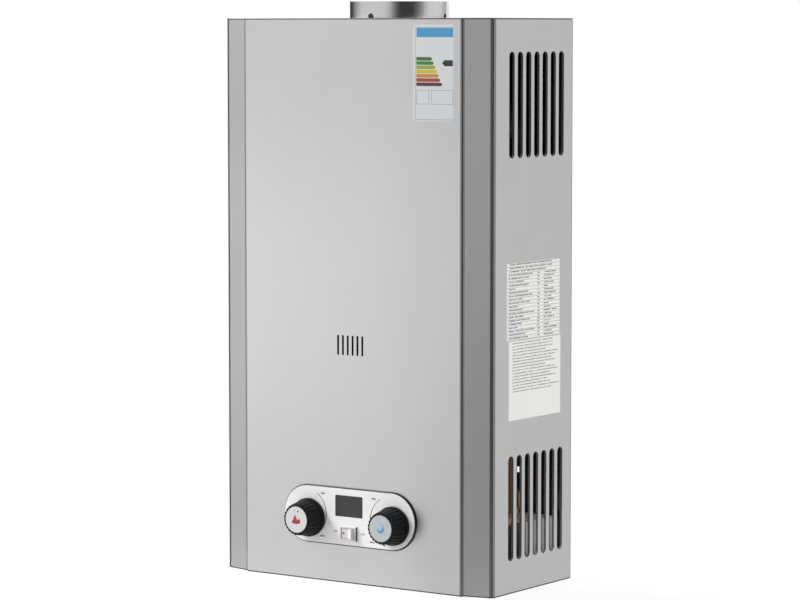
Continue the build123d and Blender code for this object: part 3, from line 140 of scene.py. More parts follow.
# The studio, in metres and degrees
FLOOR_Z = -0.40
FLOOR_MIDDLE = (-0.10, 0.06)
FLOOR_RADIUS = 0.9
FLOOR_FADE = (0.45, 0.98)
FLOOR_FADE_BEHIND = 1.8
LAMP_AIM = (0.0, -0.1, 0.0)
LAMPS = (
    ("left_lamp", 58.0, 0.6, (-1.53, -0.82, 1.35)),
    ("right_rear_lamp", 40.0, 0.8, (2.0, 0.2, 1.9)),
    ("left_front_glow", 0.6, 0.5, (-1.50, -1.78, -0.18)),
)
CEILING_START = (25.0, 50.0)
CAMERA_PLACE = (1.94618, -2.86296, 0.28480)
CAMERA_AIM = (0.00407, -0.07716, -0.00239)
CAMERA_LENS = 144.71

# Level of the surroundings for angles round the heater: 0 is before its front, 90 at its right
WALL_LEVELS = (
    (-180, 1.0), (-156, 1.0), (-137, 1.0), (-131, 0.04), (-112, 0.06), (-102, 0.13), (-94, 0.28), (-75, 0.58),
    (-62, 0.74), (-42, 0.77), (-22, 0.79), (-6, 0.77), (3, 0.72), (10, 0.61), (15, 0.49), (20, 0.32),
    (25, 0.20), (31, 0.10), (37, 0.055), (65, 0.055), (78, 0.17), (88, 0.35), (96, 0.58), (106, 0.78),
    (128, 0.86), (149, 0.76), (162, 0.52), (171, 0.55), (178, 1.0), (180, 1.0),
)


class Amount:
    """A socket's number; arithmetic on it adds Math nodes to the same tree."""

    def __init__(self, paint, socket):
        self.paint = paint
        self.socket = socket

    def math(self, operation, *terms):
        return self.paint.node("ShaderNodeMath", {"operation": operation}, dict(enumerate(terms)))

    def __add__(self, other):
        return self.math("ADD", self, other)

    def __sub__(self, other):
        return self.math("SUBTRACT", self, other)

    def __rsub__(self, other):
        return self.math("SUBTRACT", other, self)

    def __mul__(self, other):
        return self.math("MULTIPLY", self, other)

    def __truediv__(self, other):
        return self.math("DIVIDE", self, other)

    def __neg__(self):
        return self.math("MULTIPLY", self, -1.0)

    def __abs__(self):
        return self.math("ABSOLUTE", self)

    def __gt__(self, other):
        return self.math("GREATER_THAN", self, other)

    def __lt__(self, other):
        return self.math("LESS_THAN", self, other)

    def root(self):
        return self.math("SQRT", self)

    def whole(self):
        return self.math("FLOOR", self)

    def wave(self):
        return self.math("SINE", self)

    def cosine(self):
        return self.math("COSINE", self)

    def fraction(self):
        return self.math("FRACT", self)

    def least(self, other):
        return self.math("MINIMUM", self, other)

    def most(self, other):
        return self.math("MAXIMUM", self, other)

    def rise(self, start, end):
        """0 at start, 1 at end, with a smooth step between them; start may be the higher one."""
        low, high = min(start, end), max(start, end)
        step = self.paint.node(
            "ShaderNodeMapRange",
            {"interpolation_type": "SMOOTHSTEP"},
            {"Value": self, "From Min": low, "From Max": high},
        )
        return step if end > start else 1 - step


class Paint:
    """A node tree that is being written, for one finish or for the studio round the heater."""

    def __init__(self, tree):
        self.tree = tree
        self.tree.nodes.clear()

    def node(self, kind, settings=None, sockets=None, out=0):
        """Any node: its settings are set first, then its sockets get values or links."""
        made = self.tree.nodes.new(kind)
        for name, value in (settings or {}).items():
            if name == "stops":
                self.write_stops(made.color_ramp, *value)
            else:
                setattr(made, name, value)
        for name, value in (sockets or {}).items():
            self.put(made.inputs[name], value)
        return Amount(self, made.outputs[out]) if made.outputs else made

    def put(self, socket, value):
        """A link for an Amount, otherwise the socket's own value."""
        if isinstance(value, Amount):
            self.tree.links.new(value.socket, socket)
        elif socket.type == "RGBA":
            socket.default_value = (*value, 1.0)
        else:
            socket.default_value = value

    def write_stops(self, ramp, border, stops):
        """Colour stops one after the other, with hard or smooth borders."""
        ramp.interpolation = border
        while len(ramp.elements) < len(stops):
            ramp.elements.new(1.0)
        for element, (place, colour) in zip(ramp.elements, stops):
            element.position = place
            element.color = (*colour, 1.0)

    def spot(self):
        """Object coordinates of the surface, in metres."""
        return self.node("ShaderNodeTexCoord", out="Object")

    def place(self):
        """x, y and z of the surface in millimetres."""
        parts = self.node("ShaderNodeSeparateXYZ", None, {0: self.spot()})
        sockets = parts.socket.node.outputs
        return [Amount(self, socket) * PER_METRE for socket in sockets]

    def spread(self, size, stretch=(1.0, 1.0, 1.0)):
        """Object coordinates in which one unit is size millimetres, longer by stretch along each axis."""
        scale = [PER_METRE / (size * s) for s in stretch]
        return self.node("ShaderNodeMapping", None, {"Vector": self.spot(), "Scale": scale})

    def cloud(self, size, stretch=(1.0, 1.0, 1.0), detail=2.0):
        """Soft noise from 0 to 1 whose lumps are about size millimetres."""
        return self.node(
            "ShaderNodeTexNoise", None, {"Vector": self.spread(size, stretch), "Scale": 1.0, "Detail": detail}
        )

    def cells(self, size):
        """A number from 0 to 1 for each irregular cell of about size millimetres."""
        colour = self.node(
            "ShaderNodeTexVoronoi", None, {"Vector": self.spread(size), "Scale": 1.0}, out="Color"
        )
        return self.node("ShaderNodeSeparateColor", None, {0: colour})

    def tint(self, share, first, second):
        """Colour that goes from first to second with share."""
        return self.node("ShaderNodeMix", {"data_type": "RGBA"}, {0: share, 6: first, 7: second}, out=2)

    def relief(self, height, depth):
        """Normal of a surface that stands up by height times depth millimetres."""
        return self.node("ShaderNodeBump", None, {"Strength": 1.0, "Distance": depth * MM, "Height": height})

    def skin(self, **sockets):
        """Principled surface; words of a socket's name are joined by underscores."""
        named = {name.replace("_", " "): value for name, value in sockets.items()}
        surface = self.node("ShaderNodeBsdfPrincipled", None, named)
        self.node("ShaderNodeOutputMaterial", None, {"Surface": surface})


def finish_paint(name):
    """A new material and the paint that writes its nodes."""
    material = bpy.data.materials.new(name)
    material.use_nodes = True
    return material, Paint(material.node_tree)


# Forms that are drawn on a surface: each is 1 inside and 0 outside, with a soft border

def grey(level):
    """A colour without any hue."""
    return (level, level, level)


def above(value, soft=SIGN_SOFT):
    """1 where value is above 0."""
    return value.rise(-soft, soft)


def inside(value, low, high, soft=SOFT):
    """1 between low and high."""
    return value.rise(low - soft, low + soft) * value.rise(high + soft, high - soft)


def filled_box(across, up, box):
    """1 in an upright rectangle."""
    left, right, foot, top = box
    return inside(across, left, right) * inside(up, foot, top)


def box_line(across, up, box, width):
    """1 on the border line, width thick, of an upright rectangle."""
    left, right, foot, top = box
    inner = (left + width, right - width, foot + width, top - width)
    return filled_box(across, up, box) - filled_box(across, up, inner)


def length_of(dx, dz):
    """Length of the way that goes dx across and dz up."""
    return (dx * dx + dz * dz).root()


def round_spot(across, up, centre, radius):
    """1 in a small printed disc."""
    return above(radius - length_of(across - centre[0], up - centre[1]))


def drop_shape(across, up, centre, radius, tip):
    """1 in a drop: a circle below its centre, and above it a half width that shrinks with the cosine
    of the height until it is nothing at the tip."""
    dx, dz = across - centre[0], up - centre[1]
    ball = above(radius - length_of(dx, dz))
    height = (dz / tip).most(0.0).least(1.0)
    half = (height * (math.pi / 2)).cosine() * radius
    cone = above(half - abs(dx)) * inside(dz, 0.0, tip, 0.1)
    return ball.most(cone)


def viewing_slots(x, z):
    """1 on the upright viewing slots of the front and a hair beside them, with hard borders."""
    beside = abs(((x - PANEL_X) / SLOT_PITCH).fraction() - 0.5) * SLOT_PITCH
    row = abs(x - PANEL_X) < SLOT_COUNT / 2 * SLOT_PITCH
    return (beside < SLOT_HALF[0]) * row * (abs(z - SLOT_Z) < SLOT_HALF[1])


def print_rows(paint, across, up, span, top, pitch):
    """Lines of a label without any wording: one broken dash in each row, from the left border over a length
    that is a share of the width and varies by ragged."""
    left, right, length, ragged = span
    row = (top - up) / pitch
    order = row.whole()
    share = (across - left) / (right - left)
    end = (order * 2.4).wave() * ragged + (order * 5.1).wave() * ragged * 0.7 + length
    broken = paint.cloud(1.3, (1.0, 1.0, 3.0)).rise(0.36, 0.46)
    line = inside(row - order, 0.3, 0.66, 0.1)
    return line * share.rise(0.03, 0.05) * above(end - share, 0.01) * broken


# Finishes

def painted_shade_share(x, z, strip):
    """How much painted shade darkens the front's steel: its field a little at the top and towards the lower
    right, the right corner strip towards its foot, the left one towards both ends."""
    # painted shade: the field darker at the top and towards the lower right, the corner strips darker towards
    # their ends
    field = z.rise(*SHADED_FIELD_TOP) * 0.05 + x.rise(*SHADED_FIELD_RIGHT) * (z.rise(*SHADED_FIELD_FOOT) * 0.09 + 0.06)
    right_strip = z.rise(*SHADED_RIGHT_STRIP_FOOT) * 0.22 + 0.03
    left_strip = abs(z).rise(*SHADED_LEFT_STRIP_ENDS) * 0.12 + 0.02
    strips = (x > 0.0) * right_strip + (x < 0.0) * left_strip
    return field * (1 - strip) + strips * strip


def satin_ground(paint):
    """Tone, roughness and relief of satin sheet steel: fine even grain, faint upright brushing, wide and
    smaller clouds, and painted shade: a front that is darker in places, darker bends and cut edges, and
    near-black viewing slots."""
    x, y, z = paint.place()
    grain = paint.cloud(1.3, detail=3.0)
    brushing = paint.cloud(0.8, (1.0, 1.0, 60.0))
    cloud = paint.cloud(140.0)
    patch = paint.cloud(42.0, (1.0, 1.0, 2.2))
    mixed = grain * 0.2 + brushing * 0.1 + cloud * 0.3 + patch * 0.4
    tone = paint.tint(mixed, grey(0.60), grey(0.66))
    fore = y < FOLD_Y
    away = abs(x - PANEL_X)
    strip = away.rise(*STRIP_START) * fore
    # painted shade: dark lines along the bends between the front, its corner strips and the sides
    bends = inside(away, *STRIP_BEND, BEND_SOFT).most(abs(x).rise(*OUTER_BEND)) * fore
    # painted shade: a dark line along the top and bottom cut edges
    edges = inside(abs(z), *CUT_EDGE)
    dark = (painted_shade_share(x, z, strip) * fore).most(bends * 0.6).most(edges * 0.9)
    tone = paint.tint(dark, tone, grey(0.03))
    # painted shade: the viewing slots and a hair beside them made near-black
    tone = paint.tint(viewing_slots(x, z) * fore, tone, grey(0.003))
    lean = (x - STRIP_X).most(0.0) * strip * STRIP_LEAN
    return tone, grain * 0.04 + cloud * 0.05 + 0.275, paint.relief(grain * 0.6 + lean, 0.004)


def case_steel():
    """Satin steel of the front, the left side and the edges."""
    material, paint = finish_paint("case_steel_satin")
    tone, rough, normal = satin_ground(paint)
    paint.skin(Base_Color=tone, Metallic=1.0, Roughness=rough, Normal=normal)
    return material


def side_steel():
    """Satin steel of the right side with two paper data labels: a ruled table above, plain lines below."""
    material, paint = finish_paint("side_steel_with_labels")
    x, y, z = paint.place()
    tone, rough, normal = satin_ground(paint)
    outer = x > SIDE_X - 0.3
    upper = filled_box(y, z, UPPER_LABEL) * outer
    lower = filled_box(y, z, LOWER_LABEL) * outer
    table_top = UPPER_LABEL[3]
    head = z.rise(*TABLE_HEAD_FOOT)
    rules = inside(((table_top - z) / TABLE_PITCH).fraction(), 0.0, 0.14, 0.04) * 0.75
    table = print_rows(paint, y, z, TABLE_HEAD, table_top, TABLE_PITCH) * head
    for column in TABLE_COLUMNS:
        rows = print_rows(paint, y, z, column, table_top, TABLE_PITCH)
        table = table.most(rows * (y < column[1]) * (1 - head))
    lines = print_rows(paint, y, z, LINES_SPAN, LINES_TOP, LINES_PITCH) * z.rise(*LINES_FOOT)
    ink = (table.most(rules) * upper).most(lines * 0.8 * lower)
    paper = upper.most(lower)
    fibre = paint.cloud(0.9)
    sheet = paint.tint(fibre, (0.92, 0.91, 0.89), (0.96, 0.95, 0.93))
    printed = paint.tint(ink * 0.85, sheet, (0.08, 0.08, 0.085))
    paint.skin(
        Base_Color=paint.tint(paper, tone, printed),
        Metallic=1 - paper,
        Roughness=rough * (1 - paper) + paper * 0.55,
        Normal=normal,
    )
    return material


def galvanised_sheet():
    """Zinc coated sheet: irregular spangles that differ a little in tone and gloss; inside the case the tone
    is darkened as painted shade."""
    material, paint = finish_paint("galvanised_sheet")
    x, y, z = paint.place()
    spangle = paint.cells(7.0)
    stain = paint.cloud(60.0)
    tone = paint.tint(spangle * 0.6 + stain * 0.4, (0.42, 0.43, 0.44), (0.62, 0.63, 0.64))
    # painted shade: the sheet inside the case made nearly black
    tone = paint.tint((y < BACK_Y) * inside(z, *CASE_INSIDE) * 0.8, tone, (0.05, 0.05, 0.052))
    paint.skin(
        Base_Color=tone,
        Metallic=1.0,
        Roughness=spangle * 0.14 + stain * 0.12 + 0.28,
        Normal=paint.relief(paint.cloud(0.8), 0.006),
    )
    return material


def polished_collar():
    """Polished flue collar: fine rings of turning round its axis, faint smears."""
    material, paint = finish_paint("collar_polished")
    turning = paint.cloud(0.4, (60.0, 60.0, 1.0))
    smear = paint.cloud(18.0)
    paint.skin(
        Base_Color=paint.tint(smear, (0.66, 0.665, 0.67), (0.72, 0.72, 0.725)),
        Metallic=1.0,
        Roughness=smear * 0.08 + turning * 0.04 + 0.06,
        Normal=paint.relief(turning, 0.002),
    )
    return material


def copper_finish():
    """Copper that is bright in places and browned by heat in others."""
    material, paint = finish_paint("copper_drawn")
    heat = paint.cloud(26.0, detail=4.0)
    fine = paint.cloud(1.2)
    paint.skin(
        Base_Color=paint.tint(heat.rise(0.3, 0.75), (0.86, 0.42, 0.24), (0.52, 0.23, 0.13)),
        Metallic=1.0,
        Roughness=heat * 0.22 + fine * 0.08 + 0.18,
        Normal=paint.relief(fine, 0.01),
    )
    return material


def brass_finish():
    """Machined brass: turning marks and a dull film."""
    material, paint = finish_paint("brass_machined")
    film = paint.cloud(14.0, detail=3.0)
    turning = paint.cloud(0.5, (12.0, 12.0, 1.0))
    paint.skin(
        Base_Color=paint.tint(film, (0.56, 0.34, 0.18), (0.33, 0.19, 0.11)),
        Metallic=1.0,
        Roughness=film * 0.16 + turning * 0.1 + 0.2,
        Normal=paint.relief(turning, 0.008),
    )
    return material


def cast_alloy():
    """Pressure cast alloy: grainy skin, a little darker in patches."""
    material, paint = finish_paint("alloy_as_cast")
    skin = paint.cloud(0.9, detail=4.0)
    patch = paint.cloud(30.0)
    paint.skin(
        Base_Color=paint.tint(patch * 0.6 + skin * 0.4, (0.44, 0.45, 0.46), (0.66, 0.67, 0.68)),
        Metallic=1.0,
        Roughness=skin * 0.15 + 0.4,
        Normal=paint.relief(skin, 0.05),
    )
    return material


def bright_steel():
    """Bright drawn or plated steel of screws, pipes, pins and blades."""
    material, paint = finish_paint("steel_bright")
    drawn = paint.cloud(0.6, (1.0, 1.0, 14.0))
    film = paint.cloud(20.0)
    paint.skin(
        Base_Color=paint.tint(film, (0.56, 0.565, 0.57), (0.72, 0.72, 0.73)),
        Metallic=1.0,
        Roughness=drawn * 0.12 + film * 0.1 + 0.2,
        Normal=paint.relief(drawn, 0.006),
    )
    return material


def moulded(name, dark, pale, rough, grain_size, grain_depth, cloud_size=40.0, shine=0.5):
    """Moulded plastic, rubber, glaze or a dull skin: two near tones in faint clouds and a fine grain."""
    material, paint = finish_paint(name)
    grain = paint.cloud(grain_size, detail=3.0)
    cloud = paint.cloud(cloud_size)
    paint.skin(
        Base_Color=paint.tint(cloud, dark, pale),
        Roughness=grain * 0.14 + rough - 0.07,
        Normal=paint.relief(grain, grain_depth),
        Specular_IOR_Level=shine,
    )
    return material


def fascia_finish():
    """Pale satin face of the controls with a thin scale line beside each knob: a part of a circle that grows
    wider towards its lower end."""
    material, paint = finish_paint("fascia_white_printed")
    x, y, z = paint.place()
    front = y < FACE_Y + 0.2
    scales = []
    for middle_x, middle_z, radius, side in SCALE_LINES:
        dx = x - middle_x
        away = abs(length_of(dx, z - middle_z) - radius)
        half = z.rise(*SCALE_WIDER) * 0.36 + 0.28
        scales.append(above(half - away, SOFT) * (dx * side > SCALE_BESIDE) * (z < SCALE_TOP))
    ink = scales[0].most(scales[1]) * front
    grain = paint.cloud(0.7)
    pale = paint.tint(paint.cloud(50.0), grey(0.89), grey(0.93))
    paint.skin(
        Base_Color=paint.tint(ink, pale, (0.06, 0.06, 0.065)),
        Roughness=grain * 0.1 + 0.36,
        Normal=paint.relief(grain, 0.006),
    )
    return material


def cap_ground(paint, knob, dark, pale):
    """What both caps share: offsets from the knob's middle, the flat front, the dark rim, the pale ground."""
    x, y, z = paint.place()
    across, up = x - knob[0], z - knob[1]
    rim = length_of(across, up).rise(*CAP_RIM)
    return across, up, y < CAP_Y, rim, paint.tint(paint.cloud(6.0), dark, pale)


def cap_skin(paint, ink, marked):
    """Satin surface of a cap with its marks, black where ink is 1."""
    paint.skin(
        Base_Color=paint.tint(ink, marked, (0.012, 0.012, 0.013)),
        Roughness=paint.cloud(0.6) * 0.12 + 0.34,
    )


def gas_cap_finish():
    """Pale cap with a red flame sign, two tongues over a round bowl, and two dark dots."""
    material, paint = finish_paint("cap_pale_flame")
    across, up, front, rim, ground = cap_ground(paint, GAS_KNOB, (0.66, 0.66, 0.65), (0.72, 0.72, 0.71))
    bowl = above(1.0 - length_of((across + 0.3) / 5.5, (up + 2.4) / 2.2), 0.06)
    main = drop_shape(across, up, (-1.6, -1.5), 2.6, 6.8)
    right = drop_shape(across, up, (3.6, -1.6), 1.8, 3.2)
    flame = bowl.most(main).most(right) * front
    dots = round_spot(across, up, (2.1, 9.0), 0.9).most(round_spot(across, up, (-2.6, 9.2), 0.4)) * front
    red = paint.tint(up.rise(-4.0, 5.0), (0.34, 0.012, 0.03), (0.50, 0.06, 0.07))
    cap_skin(paint, dots.most(rim), paint.tint(flame, ground, red))
    return material


def water_cap_finish():
    """Pale cap with a drop sign, light blue with a darker crescent at its lower right, and a grey dot."""
    material, paint = finish_paint("cap_pale_drop")
    across, up, front, rim, ground = cap_ground(paint, WATER_KNOB, (0.49, 0.53, 0.56), (0.54, 0.58, 0.61))
    drop = drop_shape(across, up, (0.0, -0.4), 4.6, 7.8) * front
    light = round_spot(across, up, (-1.7, 2.2), 4.4)
    dot = round_spot(across, up, (-4.5, 9.2), 0.9) * front
    sign = paint.tint(light, (0.14, 0.29, 0.46), (0.41, 0.53, 0.65))
    cap_skin(paint, rim, paint.tint(dot * 0.6, paint.tint(drop, ground, sign), (0.25, 0.28, 0.33)))
    return material


def switch_finish():
    """Pale switch plastic; its right flank is painted dark as shade, and the pressed end of the rocker has a
    red spot.
    """
    material, paint = finish_paint("switch_pale")
    x, y, z = paint.place()
    # painted shade on the switch's right flank
    flank = x > PANEL_X + SWITCH_SHADED_FLANK
    red = round_spot(x, z, SWITCH_SPOT, 1.3) * (y < SWITCH_FACE_Y)
    grain = paint.cloud(0.6)
    pale = paint.tint(paint.cloud(9.0), (0.66, 0.67, 0.655), (0.74, 0.75, 0.735))
    paint.skin(
        Base_Color=paint.tint(red, paint.tint(flank, pale, (0.05, 0.05, 0.052)), (0.22, 0.02, 0.03)),
        Roughness=grain * 0.1 + 0.33,
        Normal=paint.relief(grain, 0.005),
    )
    return material


def lens_finish():
    """Dark display window with a blacker border line and faint smears."""
    material, paint = finish_paint("display_lens_dark")
    x, y, z = paint.place()
    half_x, half_z = LENS_HALF
    window = (PANEL_X - half_x, PANEL_X + half_x, DISPLAY_Z - half_z, DISPLAY_Z + half_z)
    smear = paint.cloud(11.0, detail=3.0)
    glass = paint.tint(smear, (0.030, 0.030, 0.031), (0.035, 0.035, 0.036))
    paint.skin(
        Base_Color=paint.tint(box_line(x, z, window, 1.0) * 0.7, glass, grey(0.02)),
        Roughness=smear * 0.06 + 0.3,
    )
    return material


def board_finish():
    """Printed board: dark green lacquer with paler tracks on a fine grid."""
    material, paint = finish_paint("board_green")
    x, y, z = paint.place()
    pitch = 2.5
    upright = inside((x / pitch).fraction(), 0.3, 0.55, 0.04) * paint.cells(9.0).rise(0.45, 0.5)
    level = inside((z / pitch).fraction(), 0.3, 0.55, 0.04) * paint.cells(7.0).rise(0.6, 0.65)
    track = upright.most(level)
    paint.skin(
        Base_Color=paint.tint(track, (0.02, 0.11, 0.05), (0.05, 0.22, 0.10)),
        Roughness=track * 0.1 + 0.35,
        Normal=paint.relief(track, 0.02),
    )
    return material


def battery_finish():
    """Plain battery wrap: a dark film with a paler band at the front end of each cell."""
    material, paint = finish_paint("battery_wrap")
    x, y, z = paint.place()
    low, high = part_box("batteries")
    length = high.y - low.y
    band = (y / PER_METRE / length - low.y / length).rise(0.28, 0.27)
    scuff = paint.cloud(5.0, detail=3.0)
    film = paint.tint(scuff, (0.16, 0.18, 0.2), (0.22, 0.24, 0.26))
    paint.skin(
        Base_Color=paint.tint(band, film, (0.55, 0.56, 0.57)),
        Metallic=0.4,
        Roughness=scuff * 0.12 + 0.26,
    )
    return material


def front_label_finish():
    """Paper label: blue-grey outline, blue band, seven coloured bars with pointed ends, a black marker
    and two empty boxes; nothing is written on it."""
    material, paint = finish_paint("front_label_paper")
    x, y, z = paint.place()
    fibre = paint.cloud(0.8)
    sheet = paint.tint(fibre, (0.60, 0.61, 0.62), (0.65, 0.66, 0.67))
    colours = (
        (0.03, 0.14, 0.03), (0.035, 0.19, 0.025), (0.26, 0.34, 0.03), (0.58, 0.44, 0.012),
        (0.46, 0.25, 0.025), (0.33, 0.045, 0.025), (0.08, 0.022, 0.022),
    )
    count = len(colours)
    row = (BARS_TOP - z) / BAR_PITCH
    order = row.whole()
    off = abs(row - order - 0.5) * BAR_PITCH
    end = order * BAR_GROWTH + FIRST_BAR_END - off * BAR_POINT
    bars = above(BAR_HALF - off, SOFT) * above(x - BARS_LEFT, SOFT) * above(end - x, 0.1)
    bars = bars * inside(row, 0.0, count, 0.02)
    stops = [(i / count, colour) for i, colour in enumerate(colours)]
    scale = paint.node("ShaderNodeValToRGB", {"stops": ("CONSTANT", stops)}, {0: (order + 0.5) / count})
    marker = above((x - MARKER[0]).least(MARKER_HALF) - abs(z - MARKER_Z), 0.1) * inside(x, *MARKER)
    boxes = box_line(x, z, LABEL_BOXES[0], 0.45).most(box_line(x, z, LABEL_BOXES[1], 0.45))
    tone = paint.tint(box_line(x, z, LABEL_OUTLINE, 0.5) * 0.85, sheet, (0.12, 0.17, 0.25))
    tone = paint.tint(filled_box(x, z, LABEL_BAND), tone, (0.05, 0.28, 0.53))
    tone = paint.tint(bars, tone, scale)
    tone = paint.tint(marker, tone, (0.012, 0.012, 0.014))
    tone = paint.tint(boxes * 0.85, tone, (0.16, 0.20, 0.28))
    paint.skin(Base_Color=tone, Roughness=fibre * 0.1 + 0.38)
    return material


def ink_finish(name, colour):
    """Printing ink with a faint mottle."""
    material, paint = finish_paint(name)
    mottle = paint.cloud(0.5)
    paint.skin(
        Base_Color=paint.tint(mottle, colour, tuple(min(1.0, c * 1.25) for c in colour)),
        Roughness=mottle * 0.1 + 0.45,
    )
    return material


finishes = {
    "case_steel": case_steel(),
    "plain_steel": galvanised_sheet(),
    "collar_steel": polished_collar(),
    "copper": copper_finish(),
    "brass": brass_finish(),
    "cast_alloy": cast_alloy(),
    "bright_steel": bright_steel(),
    "ceramic": moulded("ceramic_glazed", (0.78, 0.77, 0.74), (0.86, 0.85, 0.82), 0.25, 1.5, 0.01),
    "rubber": moulded("rubber_black", grey(0.03), grey(0.05), 0.7, 0.5, 0.02),
    "black_plastic": moulded(
        "knob_black", (0.005, 0.005, 0.0055), (0.009, 0.009, 0.0095), 0.42, 0.35, 0.012, shine=0.16
    ),
    "dark_plastic": moulded(
        "rim_dark", (0.008, 0.008, 0.0085), (0.014, 0.014, 0.0145), 0.4, 0.5, 0.01, shine=0.3
    ),
    "grey_plastic": moulded("plastic_grey", (0.36, 0.36, 0.35), (0.42, 0.42, 0.41), 0.45, 0.5, 0.015),
    "face_white": fascia_finish(),
    "cap_grey": gas_cap_finish(),
    "switch_white": switch_finish(),
    "lens": lens_finish(),
    "board": board_finish(),
    "battery": battery_finish(),
}
# heat darkening of the hood and burner frame, made nearly black as painted shade deep inside the case
heat_and_shade_darkened = moulded(
    "sheet_heat_darkened", (0.012, 0.012, 0.013), (0.024, 0.024, 0.025), 0.6, 2.0, 0.01, 50.0, shine=0.2
)
own_finish = {
    "draught_hood": heat_and_shade_darkened,
    "burner_frame": heat_and_shade_darkened,
    "right_side_panel": side_steel(),
    "water_knob_cap": water_cap_finish(),
}


def dress(piece, material):
    """Puts a finish into every material slot of a piece."""
    if not piece.material_slots:
        piece.data.materials.append(material)
    for holder in piece.material_slots:
        holder.material = material


for subpart in frame["record"]["subparts"]:
    name = subpart["node"]
    dress(nodes[name], own_finish.get(name) or finishes[subpart["material_slot"]])


# Pieces that the solids leave to the looks: the front label, the vent slots' turned-in edges, the words

def new_piece(name, points, faces, material, body="heater"):
    """A mesh piece from arrays of points in metres and faces, carried by a body."""
    mesh = bpy.data.meshes.new(name)
    mesh.from_pydata(points.tolist(), [], faces)
    mesh.validate()
    piece = bpy.data.objects.new(name, mesh)
    bpy.context.scene.collection.objects.link(piece)
    dress(piece, material)
    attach(piece, body)
    return piece


def ring_quads(count, low, high):
    """Four-cornered faces between two rings of count points, which start at the numbers low and high."""
    here = np.arange(count)
    following = np.roll(here, -1)
    return np.stack([here + low, here + high, following + high, following + low], 1)


def rounded_outline(left, right, foot, top, radius, steps=8):
    """Corners of a rounded rectangle as (x, z): four quarter circles of the radius, one after the other."""
    quarter = np.linspace(0.0, np.pi / 2, steps)
    turn = (quarter[None, :] + np.arange(4)[:, None] * np.pi / 2).ravel()
    centre_x = np.repeat([right - radius, left + radius, left + radius, right - radius], steps)
    centre_z = np.repeat([top - radius, top - radius, foot + radius, foot + radius], steps)
    return np.stack([centre_x + radius * np.cos(turn), centre_z + radius * np.sin(turn)], 1)


def thin_plate(name, box, radius, back_y, thickness, material):
    """Thin upright plate: its rounded outline is carried forward through three rings, the last one drawn in
    by half the thickness so that the edge is broken, and both ends are closed by one flat face."""
    left, right, foot, top = box
    rings = [(0.0, 0.0), (0.0, 0.5), (0.5, 1.0)]
    shells = []
    for inset, forward in rings:
        inset = inset * thickness
        outline = rounded_outline(left + inset, right - inset, foot + inset, top - inset, radius - inset)
        depth = np.full(len(outline), back_y - forward * thickness)
        shells.append(np.stack([outline[:, 0], depth, outline[:, 1]], 1))
    points = np.concatenate(shells) * MM
    count, last = len(shells[0]), len(rings) - 1
    outward = [0, 3, 2, 1]
    faces = []
    for ring in range(last):
        faces += ring_quads(count, ring * count, (ring + 1) * count)[:, outward].tolist()
    here = np.arange(count)
    faces.append((here + last * count).tolist())
    faces.append(here[::-1].tolist())
    return new_piece(name, points, faces, material)


front_label = thin_plate(
    "front_label", FRONT_LABEL, LABEL_CORNER, FRONT_Y, LABEL_THICKNESS, front_label_finish()
)

dull_edge = moulded("slot_edge_dull", grey(0.24), grey(0.30), 0.6, 0.8, 0.01)


def slot_edges(name, side):
    """Turned-in edges of one side's vent slots: a stadium outline, two half circles whose centres stand apart
    by twice the lift, grown by the first number of each ring and set at the depth of the second."""
    half = np.linspace(0.0, np.pi, 13)
    turn = np.concatenate([half, half + np.pi])
    lift = np.repeat([VENT_LIFT, -VENT_LIFT], len(half))
    count, depth = len(turn), len(EDGE_RINGS)
    points, faces = [], []
    for middle_y in VENT_Y + VENT_PITCH * np.arange(-3, 4):
        for middle_z in (-VENT_Z, VENT_Z):
            start = len(points) * count
            for grow, reach in EDGE_RINGS:
                radius = VENT_RADIUS + grow
                out = np.full(count, side * reach)
                across = middle_y + radius * np.cos(turn)
                up = middle_z + lift + radius * np.sin(turn)
                points.append(np.stack([out, across, up], 1))
            for ring in range(depth):
                quads = ring_quads(count, start + ring * count, start + (ring + 1) % depth * count)
                faces += quads[:, :: int(side)].tolist()
    return new_piece(name, np.concatenate(points) * MM, faces, dull_edge)


slot_edges("right_slot_edges", 1.0)
slot_edges("left_slot_edges", -1.0)


def word_on_face(name, word, centre_x, centre_z, material):
    """A printed word: the built-in letters made a flat mesh, then set on the face of the controls so that
    letter width runs along x and letter height along z, scaled to the words' capital height."""
    curve = bpy.data.curves.new(name, "FONT")
    curve.body = word
    curve.size = 1.0
    curve.resolution_u = 3
    curve.offset = WORD_WEIGHT
    holder = bpy.data.objects.new(name + "_text", curve)
    bpy.context.scene.collection.objects.link(holder)
    bpy.context.view_layer.update()
    flat = bpy.data.meshes.new_from_object(holder.evaluated_get(bpy.context.evaluated_depsgraph_get()))
    bpy.data.objects.remove(holder)
    count = len(flat.vertices)
    letters = np.zeros(count * 3)
    flat.vertices.foreach_get("co", letters)
    letters = letters.reshape(-1, 3)
    low, high = letters.min(0), letters.max(0)
    grow = WORD_HEIGHT / (high[1] - low[1])
    middle = (low + high) / 2
    across = centre_x + (letters[:, 0] - middle[0]) * grow
    depth = np.full(count, FACE_Y - WORD_LIFT)
    up = centre_z + (letters[:, 1] - middle[1]) * grow
    faces = [tuple(polygon.vertices) for polygon in flat.polygons]
    bpy.data.meshes.remove(flat)
    return new_piece(name, np.stack([across, depth, up], 1) * MM, faces, material)


word_ink = ink_finish("word_ink_grey", (0.02, 0.02, 0.022))
on_ink = ink_finish("word_ink_red", (0.30, 0.08, 0.09))
off_ink = ink_finish("word_ink_pale", (0.20, 0.20, 0.21))
word_on_face("gas_low_word", "MIN", -34.5, -202.0, word_ink)
word_on_face("gas_high_word", "MAX", -35.3, -247.2, word_ink)
word_on_face("water_low_word", "MIN", 30.6, -202.5, word_ink)
word_on_face("water_high_word", "MAX", 28.9, -248.2, word_ink)
word_on_face("switch_on_word", "ON", -18.4, -240.7, on_ink)
word_on_face("switch_off_word", "OFF", 16.7, -241.1, off_ink)


# Floor, studio light and camera

